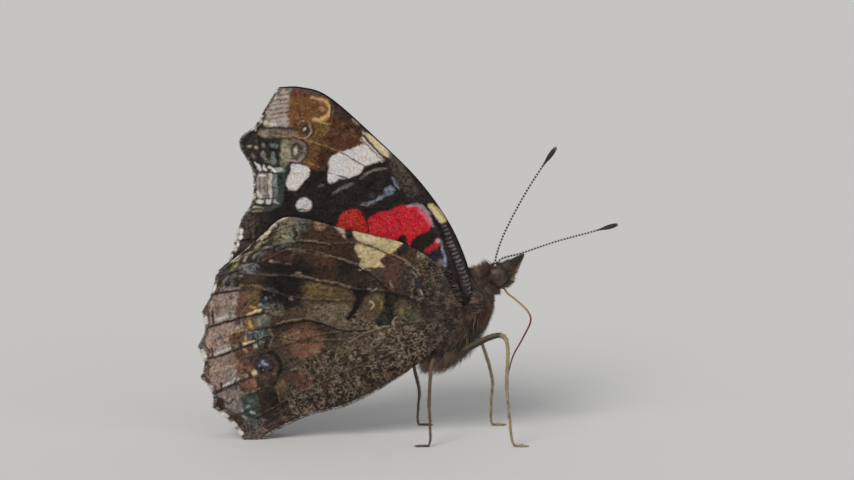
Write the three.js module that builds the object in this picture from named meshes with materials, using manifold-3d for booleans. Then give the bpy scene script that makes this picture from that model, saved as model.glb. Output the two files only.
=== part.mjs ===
// A red admiral butterfly at life size, resting with its wings closed over its back.
// Millimetres, +Z up, head towards +X, the insect's right side towards -Y. The floor is z = 0, and the
// origin lies on it under the middle of the outline. The insect stands on four feet and on the tips of
// its two hindwings. The fore legs are short and folded against the breast, as in all brush-footed kinds.

import * as THREE from 'three';
import { mergeVertices } from 'three/addons/utils/BufferGeometryUtils.js';
import Module from 'manifold-3d';

// Driving sizes.
const GAP = 0.3; // clearance between one piece and the next
const WING_THICK = 0.5; // thickness of a wing's solid
const PAIR_GAP = 0.3; // between the right and left forewings, over the back
const LIMB_RADIUS = 0.26; // legs, feelers and tongue
const FLARE = 0.7; // how far the wing edges lean out from the middle plane
const FOOT_Y = 5.36; // a foot's distance from the middle plane
const LEAN_START = 8; // the lean grows between these two distances from the hinge
const LEAN_END = 32;
const SHOULDER_BOW = { height: 2.25, reach: 4.7 }; // how far both wings bow out round their roots
const TRUNK_REACH = 3.4; // how far the hindwing's bow round the trunk spreads

// Where the wings grow from: a point on the side of the thorax, in the x-z plane.
const HINGE = new THREE.Vector2(6.2, 16.4);

// The trunk's middle line, from the neck down to the tip of the abdomen.
const THORAX_LINE = [[7.95, 17.65], [7.1, 17.05], [5.75, 14.7], [4.5, 12.3], [3.75, 10.7], [3.3, 9.8]];
const ABDOMEN_LINE = [[1.25, 10.45], [-0.8, 9.7], [-4.5, 8.1], [-8.7, 6.2]];
const ABDOMEN_HALF_WIDTH = 1.7;
const THORAX_HALF_WIDTH = 2.3;

const SIDES = [{ side: 'right', sign: -1 }, { side: 'left', sign: 1 }];

const COLOURS = {
  wing: 0x4a3a2e,
  fur: 0x4b3a2c,
  eye: 0x2a1c16,
  feeler: 0x1c1916,
  tongue: 0x54200f,
  leg: 0x8c7a52,
};

// Roughness of what the pieces are covered with.
const SMOOTH = 0.35;
const HORNY = 0.6;
const SCALY = 0.8;
const FURRY = 0.9;

const butterfly = new THREE.Group();

function addPart(name, geometry, colour, roughness) {
  const material = new THREE.MeshStandardMaterial({ color: colour, roughness, metalness: 0 });
  const mesh = new THREE.Mesh(geometry, material);
  mesh.name = name;
  butterfly.add(mesh);
}

const at = (points) => points.map((p) => new THREE.Vector2(p[0], p[1]));

// A closed body from a list of corners and triangles. A mirrored body has its faces turned round.
function body(positions, indices, mirrored) {
  const geometry = new THREE.BufferGeometry();
  geometry.setAttribute('position', new THREE.Float32BufferAttribute(positions, 3));
  const turned = [];
  for (let i = 0; i < indices.length; i += 3) {
    const [a, b, c] = indices.slice(i, i + 3);
    turned.push(...(mirrored ? [a, c, b] : [a, b, c]));
  }
  geometry.setIndex(turned);
  return geometry;
}

// A rod along a curve with an oval section. width and depth give the half sizes at t = 0..1, width along
// the normal (across the insect on a flat path) and depth in the plane of the curve. Both ends are points.
// Nothing lies under the floor, so a foot that dips below it gets a flat sole.
function rod(curve, { steps, around, width, depth = width }) {
  const frames = curve.computeFrenetFrames(steps, false);
  const positions = [];
  const indices = [];
  const put = (p) => positions.push(p.x, p.y, Math.max(p.z, 0));
  for (let i = 0; i <= steps; i++) {
    const t = i / steps;
    const centre = curve.getPointAt(t);
    for (let j = 0; j < around; j++) {
      const angle = (2 * Math.PI * j) / around;
      put(
        centre
          .clone()
          .addScaledVector(frames.normals[i], Math.cos(angle) * width(t))
          .addScaledVector(frames.binormals[i], Math.sin(angle) * depth(t)),
      );
    }
  }
  const start = positions.length / 3;
  put(curve.getPointAt(0).addScaledVector(frames.tangents[0], -0.4 * width(0)));
  put(curve.getPointAt(1).addScaledVector(frames.tangents[steps], 0.4 * width(1)));
  for (let j = 0; j < around; j++) {
    const k = (j + 1) % around;
    for (let i = 0; i < steps; i++) {
      const [a, b, c, d] = [i * around + j, i * around + k, (i + 1) * around + j, (i + 1) * around + k];
      indices.push(a, b, c, b, d, c);
    }
    indices.push(start, k, j);
    indices.push(start + 1, steps * around + j, steps * around + k);
  }
  return body(positions, indices, false);
}

// A value that runs smoothly through evenly spaced knots.
function profile(...knots) {
  const last = knots.length - 1;
  return (t) => {
    const u = t * last;
    const i = Math.min(Math.floor(u), last - 1);
    return THREE.MathUtils.lerp(knots[i], knots[i + 1], THREE.MathUtils.smoothstep(u - i, 0, 1));
  };
}

const curveThrough = (points) =>
  new THREE.CatmullRomCurve3(points.map((p) => new THREE.Vector3(...p)), false, 'centripetal');

const inMiddlePlane = (points) => curveThrough(points.map(([x, z]) => [x, 0, z]));

// Head: a short oval with the two big eyes let into its sides, and the face between the feelers.
const HEAD = { x: 9.7, z: 18.25, halfLength: 1.3, halfWidth: 1.2, halfHeight: 1.4 };
const EYE = { x: 9.62, y: 1.12, z: 18.3, radius: 1.12, flatness: 0.72 };
const HEAD_MESH = [20, 12]; // faces round and from end to end
const EYE_MESH = [14, 9];

function oval(x, y, z, rx, ry, rz, [around, rows]) {
  const geometry = new THREE.SphereGeometry(1, around, rows);
  geometry.scale(rx, ry, rz);
  geometry.rotateX(Math.PI / 2);
  geometry.translate(x, y, z);
  geometry.deleteAttribute('normal');
  geometry.deleteAttribute('uv');
  return mergeVertices(geometry);
}

const eyeball = (sign, extra) =>
  oval(EYE.x, sign * EYE.y, EYE.z, EYE.radius + extra, EYE.radius + extra,
    EYE.radius * EYE.flatness + extra, EYE_MESH);

const wasm = await Module();
wasm.setup();

const toSolid = (geometry) =>
  new wasm.Manifold(new wasm.Mesh({
    numProp: 3,
    vertProperties: geometry.attributes.position.array,
    triVerts: Uint32Array.from(geometry.index.array),
  }));

function fromSolid(solid) {
  const mesh = solid.getMesh();
  return body(Array.from(mesh.vertProperties), Array.from(mesh.triVerts), false);
}

function headGeometry() {
  const { x, z, halfLength, halfWidth, halfHeight } = HEAD;
  let head = toSolid(oval(x, 0, z, halfLength, halfHeight, halfWidth, HEAD_MESH));
  for (const { sign } of SIDES) {
    head = head.subtract(toSolid(eyeball(sign, GAP)));
  }
  return fromSolid(head);
}

addPart('head', headGeometry(), COLOURS.fur, FURRY);
for (const { side, sign } of SIDES) {
  addPart(`eye_${side}`, eyeball(sign, 0), COLOURS.eye, SMOOTH);
}

// Palps: two furred feelers of the mouth, side by side, sweeping up in front of the face to a point.
const PALP_Y = 0.55;
const PALP_LINE = [[10.45, 16.45], [11.25, 17.2], [11.7, 18.6], [12.3, 20.35]];
for (const { side, sign } of SIDES) {
  const line = curveThrough(PALP_LINE.map(([x, z], i) => [x, sign * PALP_Y * (1 - 0.1 * i), z]));
  const width = profile(0.26, 0.34, 0.34, 0.26);
  const depth = profile(0.3, 0.46, 0.5, 0.26);
  addPart(`palp_${side}`, rod(line, { steps: 9, around: 8, width, depth }), COLOURS.fur, FURRY);
}

// Antennae: slim stalks that end in a club. The right one is raised and the left one points ahead.
const ANTENNA_LINES = {
  right: [
    [9.4, -0.55, 20.0], [10.15, -1.4, 22.6], [12.3, -2.85, 27.2], [14.3, -4.2, 30.7], [15.8, -5.1, 33.0],
  ],
  left: [
    [9.95, 0.6, 19.9], [12.2, 1.3, 20.45], [16.15, 2.5, 21.6], [20.0, 3.55, 22.5], [23.35, 4.5, 23.3],
  ],
};
const CLUB_SWELL = 0.06; // how much thicker the club's solid is than its stalk
for (const { side } of SIDES) {
  const width = (t) => LIMB_RADIUS + CLUB_SWELL * THREE.MathUtils.smoothstep(t, 0.78, 0.9);
  const line = curveThrough(ANTENNA_LINES[side]);
  addPart(`antenna_${side}`, rod(line, { steps: 14, around: 6, width }), COLOURS.feeler, HORNY);
}

// Proboscis: the drinking tube, reaching forward from under the face and bending down at its elbow.
const TONGUE_LINE = [
  [10.8, 16.2], [11.75, 15.45], [13.1, 14.1], [13.4, 13.2], [12.5, 11.1], [11.45, 9.1], [10.8, 6.6],
];
addPart(
  'proboscis',
  rod(inMiddlePlane(TONGUE_LINE), { steps: 20, around: 6, width: () => LIMB_RADIUS }),
  COLOURS.tongue,
  HORNY,
);

// Thorax and abdomen: furred, and both a little narrower than deep.
addPart(
  'thorax',
  rod(inMiddlePlane(THORAX_LINE), {
    steps: 12,
    around: 14,
    width: profile(1.0, 1.7, 2.15, THORAX_HALF_WIDTH, 2.1, 1.3),
    depth: profile(1.2, 2.0, 2.65, 3.05, 2.7, 1.6),
  }),
  COLOURS.fur,
  FURRY,
);
addPart(
  'abdomen',
  rod(inMiddlePlane(ABDOMEN_LINE), {
    steps: 14,
    around: 14,
    width: profile(1.1, 1.6, ABDOMEN_HALF_WIDTH, 1.5, 1.15, 0.35),
    depth: profile(1.1, 1.75, 1.9, 1.75, 1.3, 0.4),
  }),
  COLOURS.fur,
  FURRY,
);

// Legs. A walking leg runs from its hip out to the knee, down the shin to the ankle and along a jointed
// foot, whose last stretch lies flat on the floor. Each leg has its own stance, as the insect stands.
const SOLE_Z = 0.17; // height of the foot's middle line, less than its radius, so that the sole is flat
const WALKING_LEGS = {
  midleg_right: { hip: [6.4, -1.6, 10.1], knee: [10.3, -3.6, 11.95], ankle: [10.6, -4.9, 6.5], toe: 13.0 },
  midleg_left: { hip: [6.4, 1.6, 10.1], knee: [7.5, 4.5, 10.6], ankle: [9.3, 5.1, 5.4], toe: 10.9 },
  hindleg_right: { hip: [4.0, -1.75, 8.9], knee: [2.5, -4.2, 9.3], ankle: [2.1, -4.95, 4.7], toe: 0.5 },
  hindleg_left: { hip: [4.0, 1.75, 8.9], knee: [0.4, 4.4, 8.4], ankle: [1.0, 5.05, 3.9], toe: 2.5 },
};
const TOE_LENGTH = 1.5; // the stretch of the foot that lies on the floor

for (const [name, { hip, knee, ankle, toe }] of Object.entries(WALKING_LEGS)) {
  const sign = Math.sign(hip[1]);
  const ahead = Math.sign(toe - ankle[0]);
  const heel = [toe - ahead * TOE_LENGTH, sign * (FOOT_Y - 0.04), SOLE_Z];
  const instep = ankle.map((value, axis) => 0.5 * (value + heel[axis]));
  const stops = [hip, knee, ankle, [instep[0] - 0.15 * ahead, instep[1], instep[2]], heel,
    [toe, sign * FOOT_Y, SOLE_Z]];
  const width = profile(0.34, 0.36, 0.3, LIMB_RADIUS, LIMB_RADIUS, 0.3);
  addPart(name, rod(curveThrough(stops), { steps: 18, around: 8, width }), COLOURS.leg, HORNY);
}

// Fore legs: little brushes folded up along the breast.
const FORELEG_LINE = [[8.6, 1.25, 12.3], [9.25, 1.1, 13.7], [9.4, 0.8, 15.3]];
for (const { side, sign } of SIDES) {
  const line = curveThrough(FORELEG_LINE.map(([x, y, z]) => [x, sign * y, z]));
  const width = profile(0.3, 0.34, 0.27);
  addPart(`foreleg_${side}`, rod(line, { steps: 6, around: 6, width }), COLOURS.leg, SCALY);
}

// Wings. Each is a thin sheet whose outline lies in the x-z plane. Its distance from the middle plane is
// a function of the place on the wing: close together over the back, bowed out round the trunk.

// The lean outwards, the same on all four wings: it grows from the hinge towards the wing's edge.
function lean(x, z) {
  const reach = Math.hypot(x - HINGE.x, z - HINGE.y);
  return FLARE * THREE.MathUtils.smoothstep(reach, LEAN_START, LEAN_END);
}

function shoulderBow(x, z) {
  const reach = Math.hypot(x - HINGE.x, z - HINGE.y);
  return SHOULDER_BOW.height * Math.exp(-((reach / SHOULDER_BOW.reach) ** 2));
}

// The bow that carries the hindwing round the thorax and the abdomen: a ridge along the trunk's line.
const TRUNK = at([[6.2, 15.6], [4.0, 11.6], [0.6, 9.9], [-8.2, 6.3]]);
const TRUNK_BOW = [1.9, 1.85, 1.35, 0.9];

function trunkBow(x, z) {
  const place = new THREE.Vector2(x, z);
  let ridge = 0;
  for (let i = 0; i + 1 < TRUNK.length; i++) {
    const along = TRUNK[i + 1].clone().sub(TRUNK[i]);
    const t = THREE.MathUtils.clamp(place.clone().sub(TRUNK[i]).dot(along) / along.lengthSq(), 0, 1);
    const away = place.distanceTo(TRUNK[i].clone().addScaledVector(along, t));
    const height = THREE.MathUtils.lerp(TRUNK_BOW[i], TRUNK_BOW[i + 1], t);
    ridge = Math.max(ridge, height * Math.exp(-((away / TRUNK_REACH) ** 2)));
  }
  return ridge;
}

const forewingPlace = (x, z) => PAIR_GAP / 2 + lean(x, z) + shoulderBow(x, z);
const hindwingPlace = (x, z) =>
  PAIR_GAP / 2 + WING_THICK + GAP + lean(x, z) + Math.max(shoulderBow(x, z), trunkBow(x, z));

// Points along a smooth line through a few stops, the last one left out so that stretches can be chained.
function stretch(stops, count) {
  return new THREE.SplineCurve(at(stops)).getSpacedPoints(count).slice(0, -1);
}

// The wavy edge between the ends of the veins: each arc is hollow in the middle by its dip.
function scallops(tips, dips, count) {
  const ends = at(tips);
  const points = [];
  for (let i = 0; i + 1 < ends.length; i++) {
    const chord = ends[i + 1].clone().sub(ends[i]);
    const inward = new THREE.Vector2(-chord.y, chord.x).normalize();
    for (let j = 0; j < count; j++) {
      const t = j / count;
      points.push(
        ends[i].clone().addScaledVector(chord, t).addScaledVector(inward, dips[i] * Math.sin(Math.PI * t)),
      );
    }
  }
  return points;
}

// The forewing runs from the hinge up the costa to the square-cut tip, in along the hollow outer edge,
// round the lower corner and back along the hidden hind edge.
const FOREWING_COSTA = [
  [6.75, 16.6], [6.3, 19.4], [4.4, 23.9], [1.1, 28.6], [-3.3, 33.0], [-8.8, 37.85], [-12.0, 39.0],
  [-14.6, 38.95],
];
const FOREWING_EDGE = [
  [-14.6, 38.95], [-15.9, 36.9], [-17.2, 34.75], [-18.65, 33.6], [-18.65, 32.4], [-17.4, 30.0],
  [-17.4, 26.7], [-18.6, 24.6], [-19.35, 22.2], [-20.0, 19.6], [-19.2, 17.6],
];
const FOREWING_HIND = [[-19.2, 17.6], [-7.0, 17.8], [2.0, 16.5], [5.9, 15.3]];
const FOREWING_BASE = [[5.9, 15.3], [6.5, 15.7], [6.75, 16.6]];

const forewingOutline = [
  ...stretch(FOREWING_COSTA, 18),
  ...stretch(FOREWING_EDGE, 22),
  ...stretch(FOREWING_HIND, 11),
  ...stretch(FOREWING_BASE, 3),
];

// The hindwing runs from the hinge along its front edge, down the scalloped outer edge to the tip that
// meets the floor, and back up the inner edge beside the abdomen.
const HINDWING_COSTA = [
  [4.95, 16.4], [3.9, 18.6], [2.6, 20.1], [-1.1, 22.1], [-7.1, 23.55], [-12.1, 24.85], [-14.4, 24.6],
  [-16.3, 22.7],
];
const HINDWING_TIPS = [
  [-16.3, 22.7], [-21.35, 18.5], [-22.95, 14.4], [-23.45, 10.5], [-23.2, 7.0], [-21.85, 3.7], [-18.4, 0.0],
];
const HINDWING_DIPS = [0.0, 0.3, 0.6, 0.6, 0.6, 0.3];
const HINDWING_INNER = [[-16.6, 0.0], [-14.2, 1.4], [-10.9, 2.9], [-7.0, 4.0], [-3.3, 5.9], [-0.2, 7.9]];
const HINDWING_BASE = [[-0.2, 7.9], [2.4, 9.9], [4.4, 13.0], [4.95, 16.4]];

const hindwingOutline = [
  ...stretch(HINDWING_COSTA, 16),
  ...scallops(HINDWING_TIPS, HINDWING_DIPS, 4),
  ...at([HINDWING_TIPS[HINDWING_TIPS.length - 1]]),
  ...stretch(HINDWING_INNER, 11),
  ...stretch(HINDWING_BASE, 6),
];

// A closed sheet: rings of points shrink from the outline to a heart point, on an inner and an outer face
// that are joined round the edge. place gives the inner face's distance from the middle plane.
function wingGeometry(outline, heart, rings, place, sign) {
  const count = outline.length;
  const positions = [];
  const indices = [];
  for (const lift of [0, WING_THICK]) {
    const put = (p) => positions.push(p.x, sign * (place(p.x, p.y) + lift), p.y);
    put(heart);
    for (const ring of rings) {
      for (const p of outline) put(heart.clone().lerp(p, ring));
    }
  }
  const layer = 1 + rings.length * count;
  const inner = (ring, i) => 1 + ring * count + (i % count);
  const outer = (ring, i) => layer + inner(ring, i);
  const rim = rings.length - 1;
  for (let i = 0; i < count; i++) {
    indices.push(0, inner(0, i), inner(0, i + 1));
    indices.push(layer, outer(0, i + 1), outer(0, i));
    for (let r = 0; r < rim; r++) {
      indices.push(inner(r, i), inner(r + 1, i), inner(r + 1, i + 1));
      indices.push(inner(r, i), inner(r + 1, i + 1), inner(r, i + 1));
      indices.push(outer(r, i), outer(r + 1, i + 1), outer(r + 1, i));
      indices.push(outer(r, i), outer(r, i + 1), outer(r + 1, i + 1));
    }
    indices.push(inner(rim, i), outer(rim, i), outer(rim, i + 1));
    indices.push(inner(rim, i), outer(rim, i + 1), inner(rim, i + 1));
  }
  return body(positions, indices, sign < 0);
}

const FOREWING_HEART = new THREE.Vector2(5.0, 17.7);
const HINDWING_HEART = new THREE.Vector2(2.6, 14.4);
const RINGS = [0.12, 0.26, 0.42, 0.6, 0.8, 1];

for (const { side, sign } of SIDES) {
  const forewing = wingGeometry(forewingOutline, FOREWING_HEART, RINGS, forewingPlace, sign);
  const hindwing = wingGeometry(hindwingOutline, HINDWING_HEART, RINGS, hindwingPlace, sign);
  addPart(`forewing_${side}`, forewing, COLOURS.wing, SCALY);
  addPart(`hindwing_${side}`, hindwing, COLOURS.wing, SCALY);
}

export default butterfly;
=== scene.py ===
"""A red admiral butterfly at life size, resting with its wings closed over its back.

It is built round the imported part: metres, +Z up, the head towards +X and the insect's right side
towards -Y. Sizes are written in millimetres, and MM turns them into Blender's metres.
"""

import math

import bpy
import numpy as np
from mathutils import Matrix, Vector


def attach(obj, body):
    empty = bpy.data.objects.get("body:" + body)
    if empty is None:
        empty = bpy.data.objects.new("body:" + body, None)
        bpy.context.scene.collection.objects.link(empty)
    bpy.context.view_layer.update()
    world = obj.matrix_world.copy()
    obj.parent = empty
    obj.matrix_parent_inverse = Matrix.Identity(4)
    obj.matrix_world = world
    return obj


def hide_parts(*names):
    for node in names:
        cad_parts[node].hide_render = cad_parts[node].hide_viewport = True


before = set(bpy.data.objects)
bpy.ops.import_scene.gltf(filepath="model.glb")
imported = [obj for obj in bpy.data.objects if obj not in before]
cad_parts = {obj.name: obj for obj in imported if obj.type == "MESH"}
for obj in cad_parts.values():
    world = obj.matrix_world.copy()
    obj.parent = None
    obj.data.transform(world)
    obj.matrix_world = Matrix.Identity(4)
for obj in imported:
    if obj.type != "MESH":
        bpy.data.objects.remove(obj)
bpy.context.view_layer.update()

# Body: one leathery skin from the face to the tip of the abdomen, with the neck, the stout thorax that
# holds the flight muscles, and the ringed abdomen. The coat hides nearly all of it, so it lies inside
# the solids of head, thorax and abdomen by the depth of that coat.
MM = 0.001
MIDDLE_TO_SIDE = np.array([0.0, 1.0, 0.0])
SIDES = (("right", -1), ("left", 1))
CURVE_STEPS = 40


def even_steps(line, count):
    """That many points along a broken line, at even distances."""
    run = np.concatenate([[0], np.cumsum(np.linalg.norm(np.diff(line, axis=0), axis=1))])
    marks = np.linspace(0, run[-1], count)
    return np.stack([np.interp(marks, run, column) for column in line.T], axis=1)


def curve(stops, count, pull=0.5, pad=True):
    """A Catmull-Rom line through the stops, cut into count points at even distances. The time between
    two stops is their distance to the power pull, so 0.5 keeps it tight at bends and 0 is the plain kind.
    With pad the line is carried on straight past its ends, and without it the end stops are doubled."""
    p = np.array(stops, float)
    ends = (2 * p[0] - p[1], 2 * p[-1] - p[-2]) if pad else (p[0], p[-1])
    p = np.vstack([ends[0], p, ends[1]])
    gap = np.linalg.norm(np.diff(p, axis=0), axis=1) ** pull
    gap = np.where(gap < 1e-6, 1.0, gap)[:, None]
    before, span, after = gap[:-2], gap[1:-1], gap[2:]
    a, b, c, d = p[:-3], p[1:-2], p[2:-1], p[3:]
    leave = ((b - a) / before - (c - a) / (before + span) + (c - b) / span) * span
    arrive = ((c - b) / span - (d - b) / (span + after) + (d - c) / after) * span
    t = np.linspace(0, 1, CURVE_STEPS, endpoint=False)[None, :, None]
    b, c, leave, arrive = b[:, None], c[:, None], leave[:, None], arrive[:, None]
    square, cube = 3 * (c - b) - 2 * leave - arrive, 2 * (b - c) + leave + arrive
    line = b + leave * t + square * t ** 2 + cube * t ** 3
    return even_steps(np.vstack([line.reshape(-1, p.shape[1]), p[-2]]), count)


def rise(low, high, value):
    """Smoothstep: 0 below low, 1 above high, and an S-shaped rise between."""
    t = np.clip((value - low) / (high - low), 0, 1)
    return t * t * (3 - 2 * t)


def unit(vectors):
    """The vectors at length 1."""
    return vectors / np.maximum(np.linalg.norm(vectors, axis=-1, keepdims=True), 1e-9)


def along(points):
    """The direction of a line at each of its points, from the one before to the one after."""
    return unit(np.gradient(points, axis=0))


def screen(red, green, blue):
    """A colour as it shows on a screen, 0 to 255, turned into the linear shares that a surface sends back."""
    shown = np.array([red, green, blue]) / 255.0
    return np.where(shown <= 0.04045, shown / 12.92, ((shown + 0.055) / 1.055) ** 2.4)


LATTICE = np.random.default_rng(71).random((64, 64, 64))


def wander(x, y, size, layer=0):
    """Value noise from 0 to 1: random numbers on a square lattice of that size, eased between its
    corners, and half as much again of it at half the size."""
    total = 0.0
    for octave in range(2):
        fine = 2.0 ** octave
        fx = x / size * fine + 7.3 * octave + 3.1 * layer
        fy = y / size * fine + 5.9 * octave + 1.7 * layer
        ix, iy = np.floor(fx).astype(int), np.floor(fy).astype(int)
        tx, ty = rise(0, 1, fx - ix), rise(0, 1, fy - iy)
        plane = LATTICE[(2 * layer + octave) % 64]
        low = plane[ix % 64, iy % 64] * (1 - tx) + plane[(ix + 1) % 64, iy % 64] * tx
        high = plane[ix % 64, (iy + 1) % 64] * (1 - tx) + plane[(ix + 1) % 64, (iy + 1) % 64] * tx
        total = total + (low * (1 - ty) + high * ty) / fine
    return total / 1.5


def baked(spots):
    """The map that every piece carries, kept a hundredth clear of its border."""
    return {"OFBake": 0.01 + 0.98 * spots}


def piece(name, places, faces, material, maps, paint=None):
    """A mesh object on the root body. places are in millimetres and faces is a list of arrays of
    corner numbers. maps gives each UV map's name and a place on it for every vertex."""
    mesh = bpy.data.meshes.new(name)
    mesh.vertices.add(len(places))
    mesh.vertices.foreach_set("co", (places * MM).astype(np.float32).ravel())
    corners = np.concatenate([f.ravel() for f in faces])
    sizes = np.concatenate([np.full(len(f), f.shape[1]) for f in faces])
    mesh.loops.add(len(corners))
    mesh.loops.foreach_set("vertex_index", corners.astype(np.int32))
    mesh.polygons.add(len(sizes))
    mesh.polygons.foreach_set("loop_start", np.concatenate([[0], np.cumsum(sizes)[:-1]]).astype(np.int32))
    mesh.update(calc_edges=True)
    for label, spots in maps.items():
        mesh.uv_layers.new(name=label).uv.foreach_set("vector", spots[corners].astype(np.float32).ravel())
    if paint is not None:
        colours = np.column_stack([paint, np.ones(len(paint))])
        layer = mesh.color_attributes.new("paint", "FLOAT_COLOR", "POINT")
        layer.data.foreach_set("color", colours.astype(np.float32).ravel())
    mesh.polygons.foreach_set("use_smooth", np.ones(len(sizes), bool))
    mesh.materials.append(material)
    made = bpy.data.objects.new(name, mesh)
    bpy.context.scene.collection.objects.link(made)
    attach(made, "root")
    return made


def tube_faces(rings, around):
    """Faces of a tube of rings, one after the other, closed at each end by a fan to its own point. The two
    end points follow the rings."""
    ring = np.arange(rings - 1)[:, None] * around
    here = ring + np.arange(around)
    there = ring + (np.arange(around) + 1) % around
    sides = np.stack([here, there, there + around, here + around], axis=-1).reshape(-1, 4)
    k = np.arange(around)
    last = (rings - 1) * around
    first_cap = np.stack([(k + 1) % around, k, np.full(around, rings * around)], axis=-1)
    last_cap = np.stack([last + k, last + (k + 1) % around, np.full(around, rings * around + 1)], axis=-1)
    return [sides, np.vstack([first_cap, last_cap])]


END_BULGE = 0.3


def tube(line, side, wide, deep, around, shape=None):
    """Carries an oval along a line: each ring is the line's point plus wide times the cosine of an angle
    along side, plus deep times its sine square to side and line. shape multiplies each ring's radius by
    angle, and the ends bulge a little. Gives the places, the faces and a map of (share of the length,
    share of the turn)."""
    ahead = along(line)
    side = unit(side - ahead * np.sum(side * ahead, axis=1, keepdims=True))
    up = np.cross(ahead, side)
    angle = np.linspace(0, 2 * np.pi, around, endpoint=False)
    swell = np.ones((len(line), around)) if shape is None else shape
    across = (np.cos(angle) * swell)[..., None] * side[:, None] * np.reshape(wide, (-1, 1, 1))
    upward = (np.sin(angle) * swell)[..., None] * up[:, None] * np.reshape(deep, (-1, 1, 1))
    rings = line[:, None] + across + upward
    deep = np.ravel(deep)
    ends = np.stack([line[0] - ahead[0] * deep[0] * END_BULGE, line[-1] + ahead[-1] * deep[-1] * END_BULGE])
    share = np.linspace(0, 1, len(line))[:, None] * np.ones(around)
    turn = np.ones(len(line))[:, None] * angle / (2 * np.pi)
    spots = np.stack([share, turn], axis=-1).reshape(-1, 2)
    return (np.vstack([rings.reshape(-1, 3), ends]), tube_faces(len(line), around),
            np.vstack([spots, [[0, 0.5], [1, 0.5]]]))


class Wire:
    """A socket in a material. Arithmetic on it adds Math nodes, and node() adds any other kind."""

    def __init__(self, tree, socket=None):
        self.tree = tree
        self.socket = socket

    def node(self, kind, settings=(), inputs=(), output=0):
        """Adds a node: first its settings, then the values or links of its sockets by name or number."""
        new = self.tree.nodes.new(kind)
        for setting, value in dict(settings).items():
            setattr(new, setting, value)
        for place, value in dict(inputs).items():
            if isinstance(value, Wire):
                self.tree.links.new(value.socket, new.inputs[place])
            else:
                new.inputs[place].default_value = value
        return Wire(self.tree, new.outputs[output])

    def maths(self, operation, *terms):
        """One Math node on the terms, or on this socket alone."""
        return self.node("ShaderNodeMath", {"operation": operation}, dict(enumerate(terms or (self,))))

    def __radd__(self, other):
        return self.maths("ADD", other, self)

    def __sub__(self, other):
        return self.maths("SUBTRACT", self, other)

    def __rsub__(self, other):
        return self.maths("SUBTRACT", other, self)

    def __mul__(self, other):
        return self.maths("MULTIPLY", self, other)

    def __rmul__(self, other):
        return self.maths("MULTIPLY", other, self)

    def __pow__(self, other):
        return self.maths("POWER", self, other)

    def between(self, low, high):
        """0 below low and 1 above high, eased between."""
        return self.node("ShaderNodeMapRange", {"interpolation_type": "SMOOTHSTEP"},
                         {"Value": self, "From Min": low, "From Max": high})

    def blend(self, first, second):
        """first where this socket is 0 and second where it is 1, both colours."""
        first, second = (v if isinstance(v, Wire) else (*v, 1.0) for v in (first, second))
        return self.node("ShaderNodeMix", {"data_type": "RGBA"}, {0: self, 6: first, 7: second}, output=2)

    def place(self):
        """The place on the piece, in its own coordinates."""
        return self.node("ShaderNodeTexCoord", output=3)

    def tint(self):
        """The colour that lies on the piece's vertices."""
        return self.node("ShaderNodeAttribute", {"attribute_name": "paint"})

    def noise(self, scale, detail=2.0):
        """Perlin noise from 0 to 1 at that many lumps to the metre."""
        return self.node("ShaderNodeTexNoise", {}, {"Vector": self.place(), "Scale": scale, "Detail": detail})


def finish_of(name):
    """A new material with nothing but its surface shader, and a loose end of wire to build on."""
    material = bpy.data.materials.new(name)
    material.use_nodes = True
    return material, Wire(material.node_tree)


def coat_with(material, colour, roughness, height=None, relief=0.0, **fixed):
    """Joins colour, roughness and a height to the material's surface shader. relief is the height's
    range in millimetres, and fixed are values that are the same all over."""
    shader = material.node_tree.nodes["Principled BSDF"]
    links = material.node_tree.links
    for place, value in (("Base Color", colour), ("Roughness", roughness)):
        if isinstance(value, Wire):
            links.new(value.socket, shader.inputs[place])
        else:
            shader.inputs[place].default_value = value
    if height is not None:
        bump = height.node("ShaderNodeBump", {}, {"Height": height, "Distance": relief * MM, "Strength": 1.0})
        links.new(bump.socket, shader.inputs["Normal"])
    for place, value in fixed.items():
        shader.inputs[place.replace("_", " ")].default_value = value
    return material


# Stations from the face to the tail: x and z of the middle line, then half the width and half the depth.
FACE, NECK, WAIST, TAIL = 10.95, 8.3, 1.0, -8.8
BODY_STATIONS = [
    (FACE, 18.15, 0.05, 0.05), (10.72, 18.15, 0.6, 0.72), (10.1, 18.2, 0.95, 1.1), (9.5, 18.25, 1.0, 1.18),
    (8.9, 18.15, 0.86, 1.04), (NECK, 17.85, 0.74, 0.88), (7.7, 17.45, 0.95, 1.15), (7.1, 16.85, 1.4, 1.7),
    (6.4, 15.8, 1.75, 2.15), (5.75, 14.7, 1.95, 2.4), (5.1, 13.5, 2.05, 2.6), (4.5, 12.3, 2.0, 2.55),
    (3.6, 11.2, 1.75, 2.3), (2.3, 10.5, 1.42, 1.95), (WAIST, 10.15, 1.22, 1.65), (-0.8, 9.6, 1.4, 1.6),
    (-2.6, 8.9, 1.5, 1.65), (-4.5, 8.1, 1.42, 1.5), (-6.5, 7.2, 1.1, 1.15), (-8.0, 6.5, 0.75, 0.75),
    (-8.65, 6.2, 0.3, 0.3), (TAIL, 6.14, 0.03, 0.03)]
SKIN_ROWS, SKIN_AROUND = 320, 80
SEGMENT_LENGTH = 1.25

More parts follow.
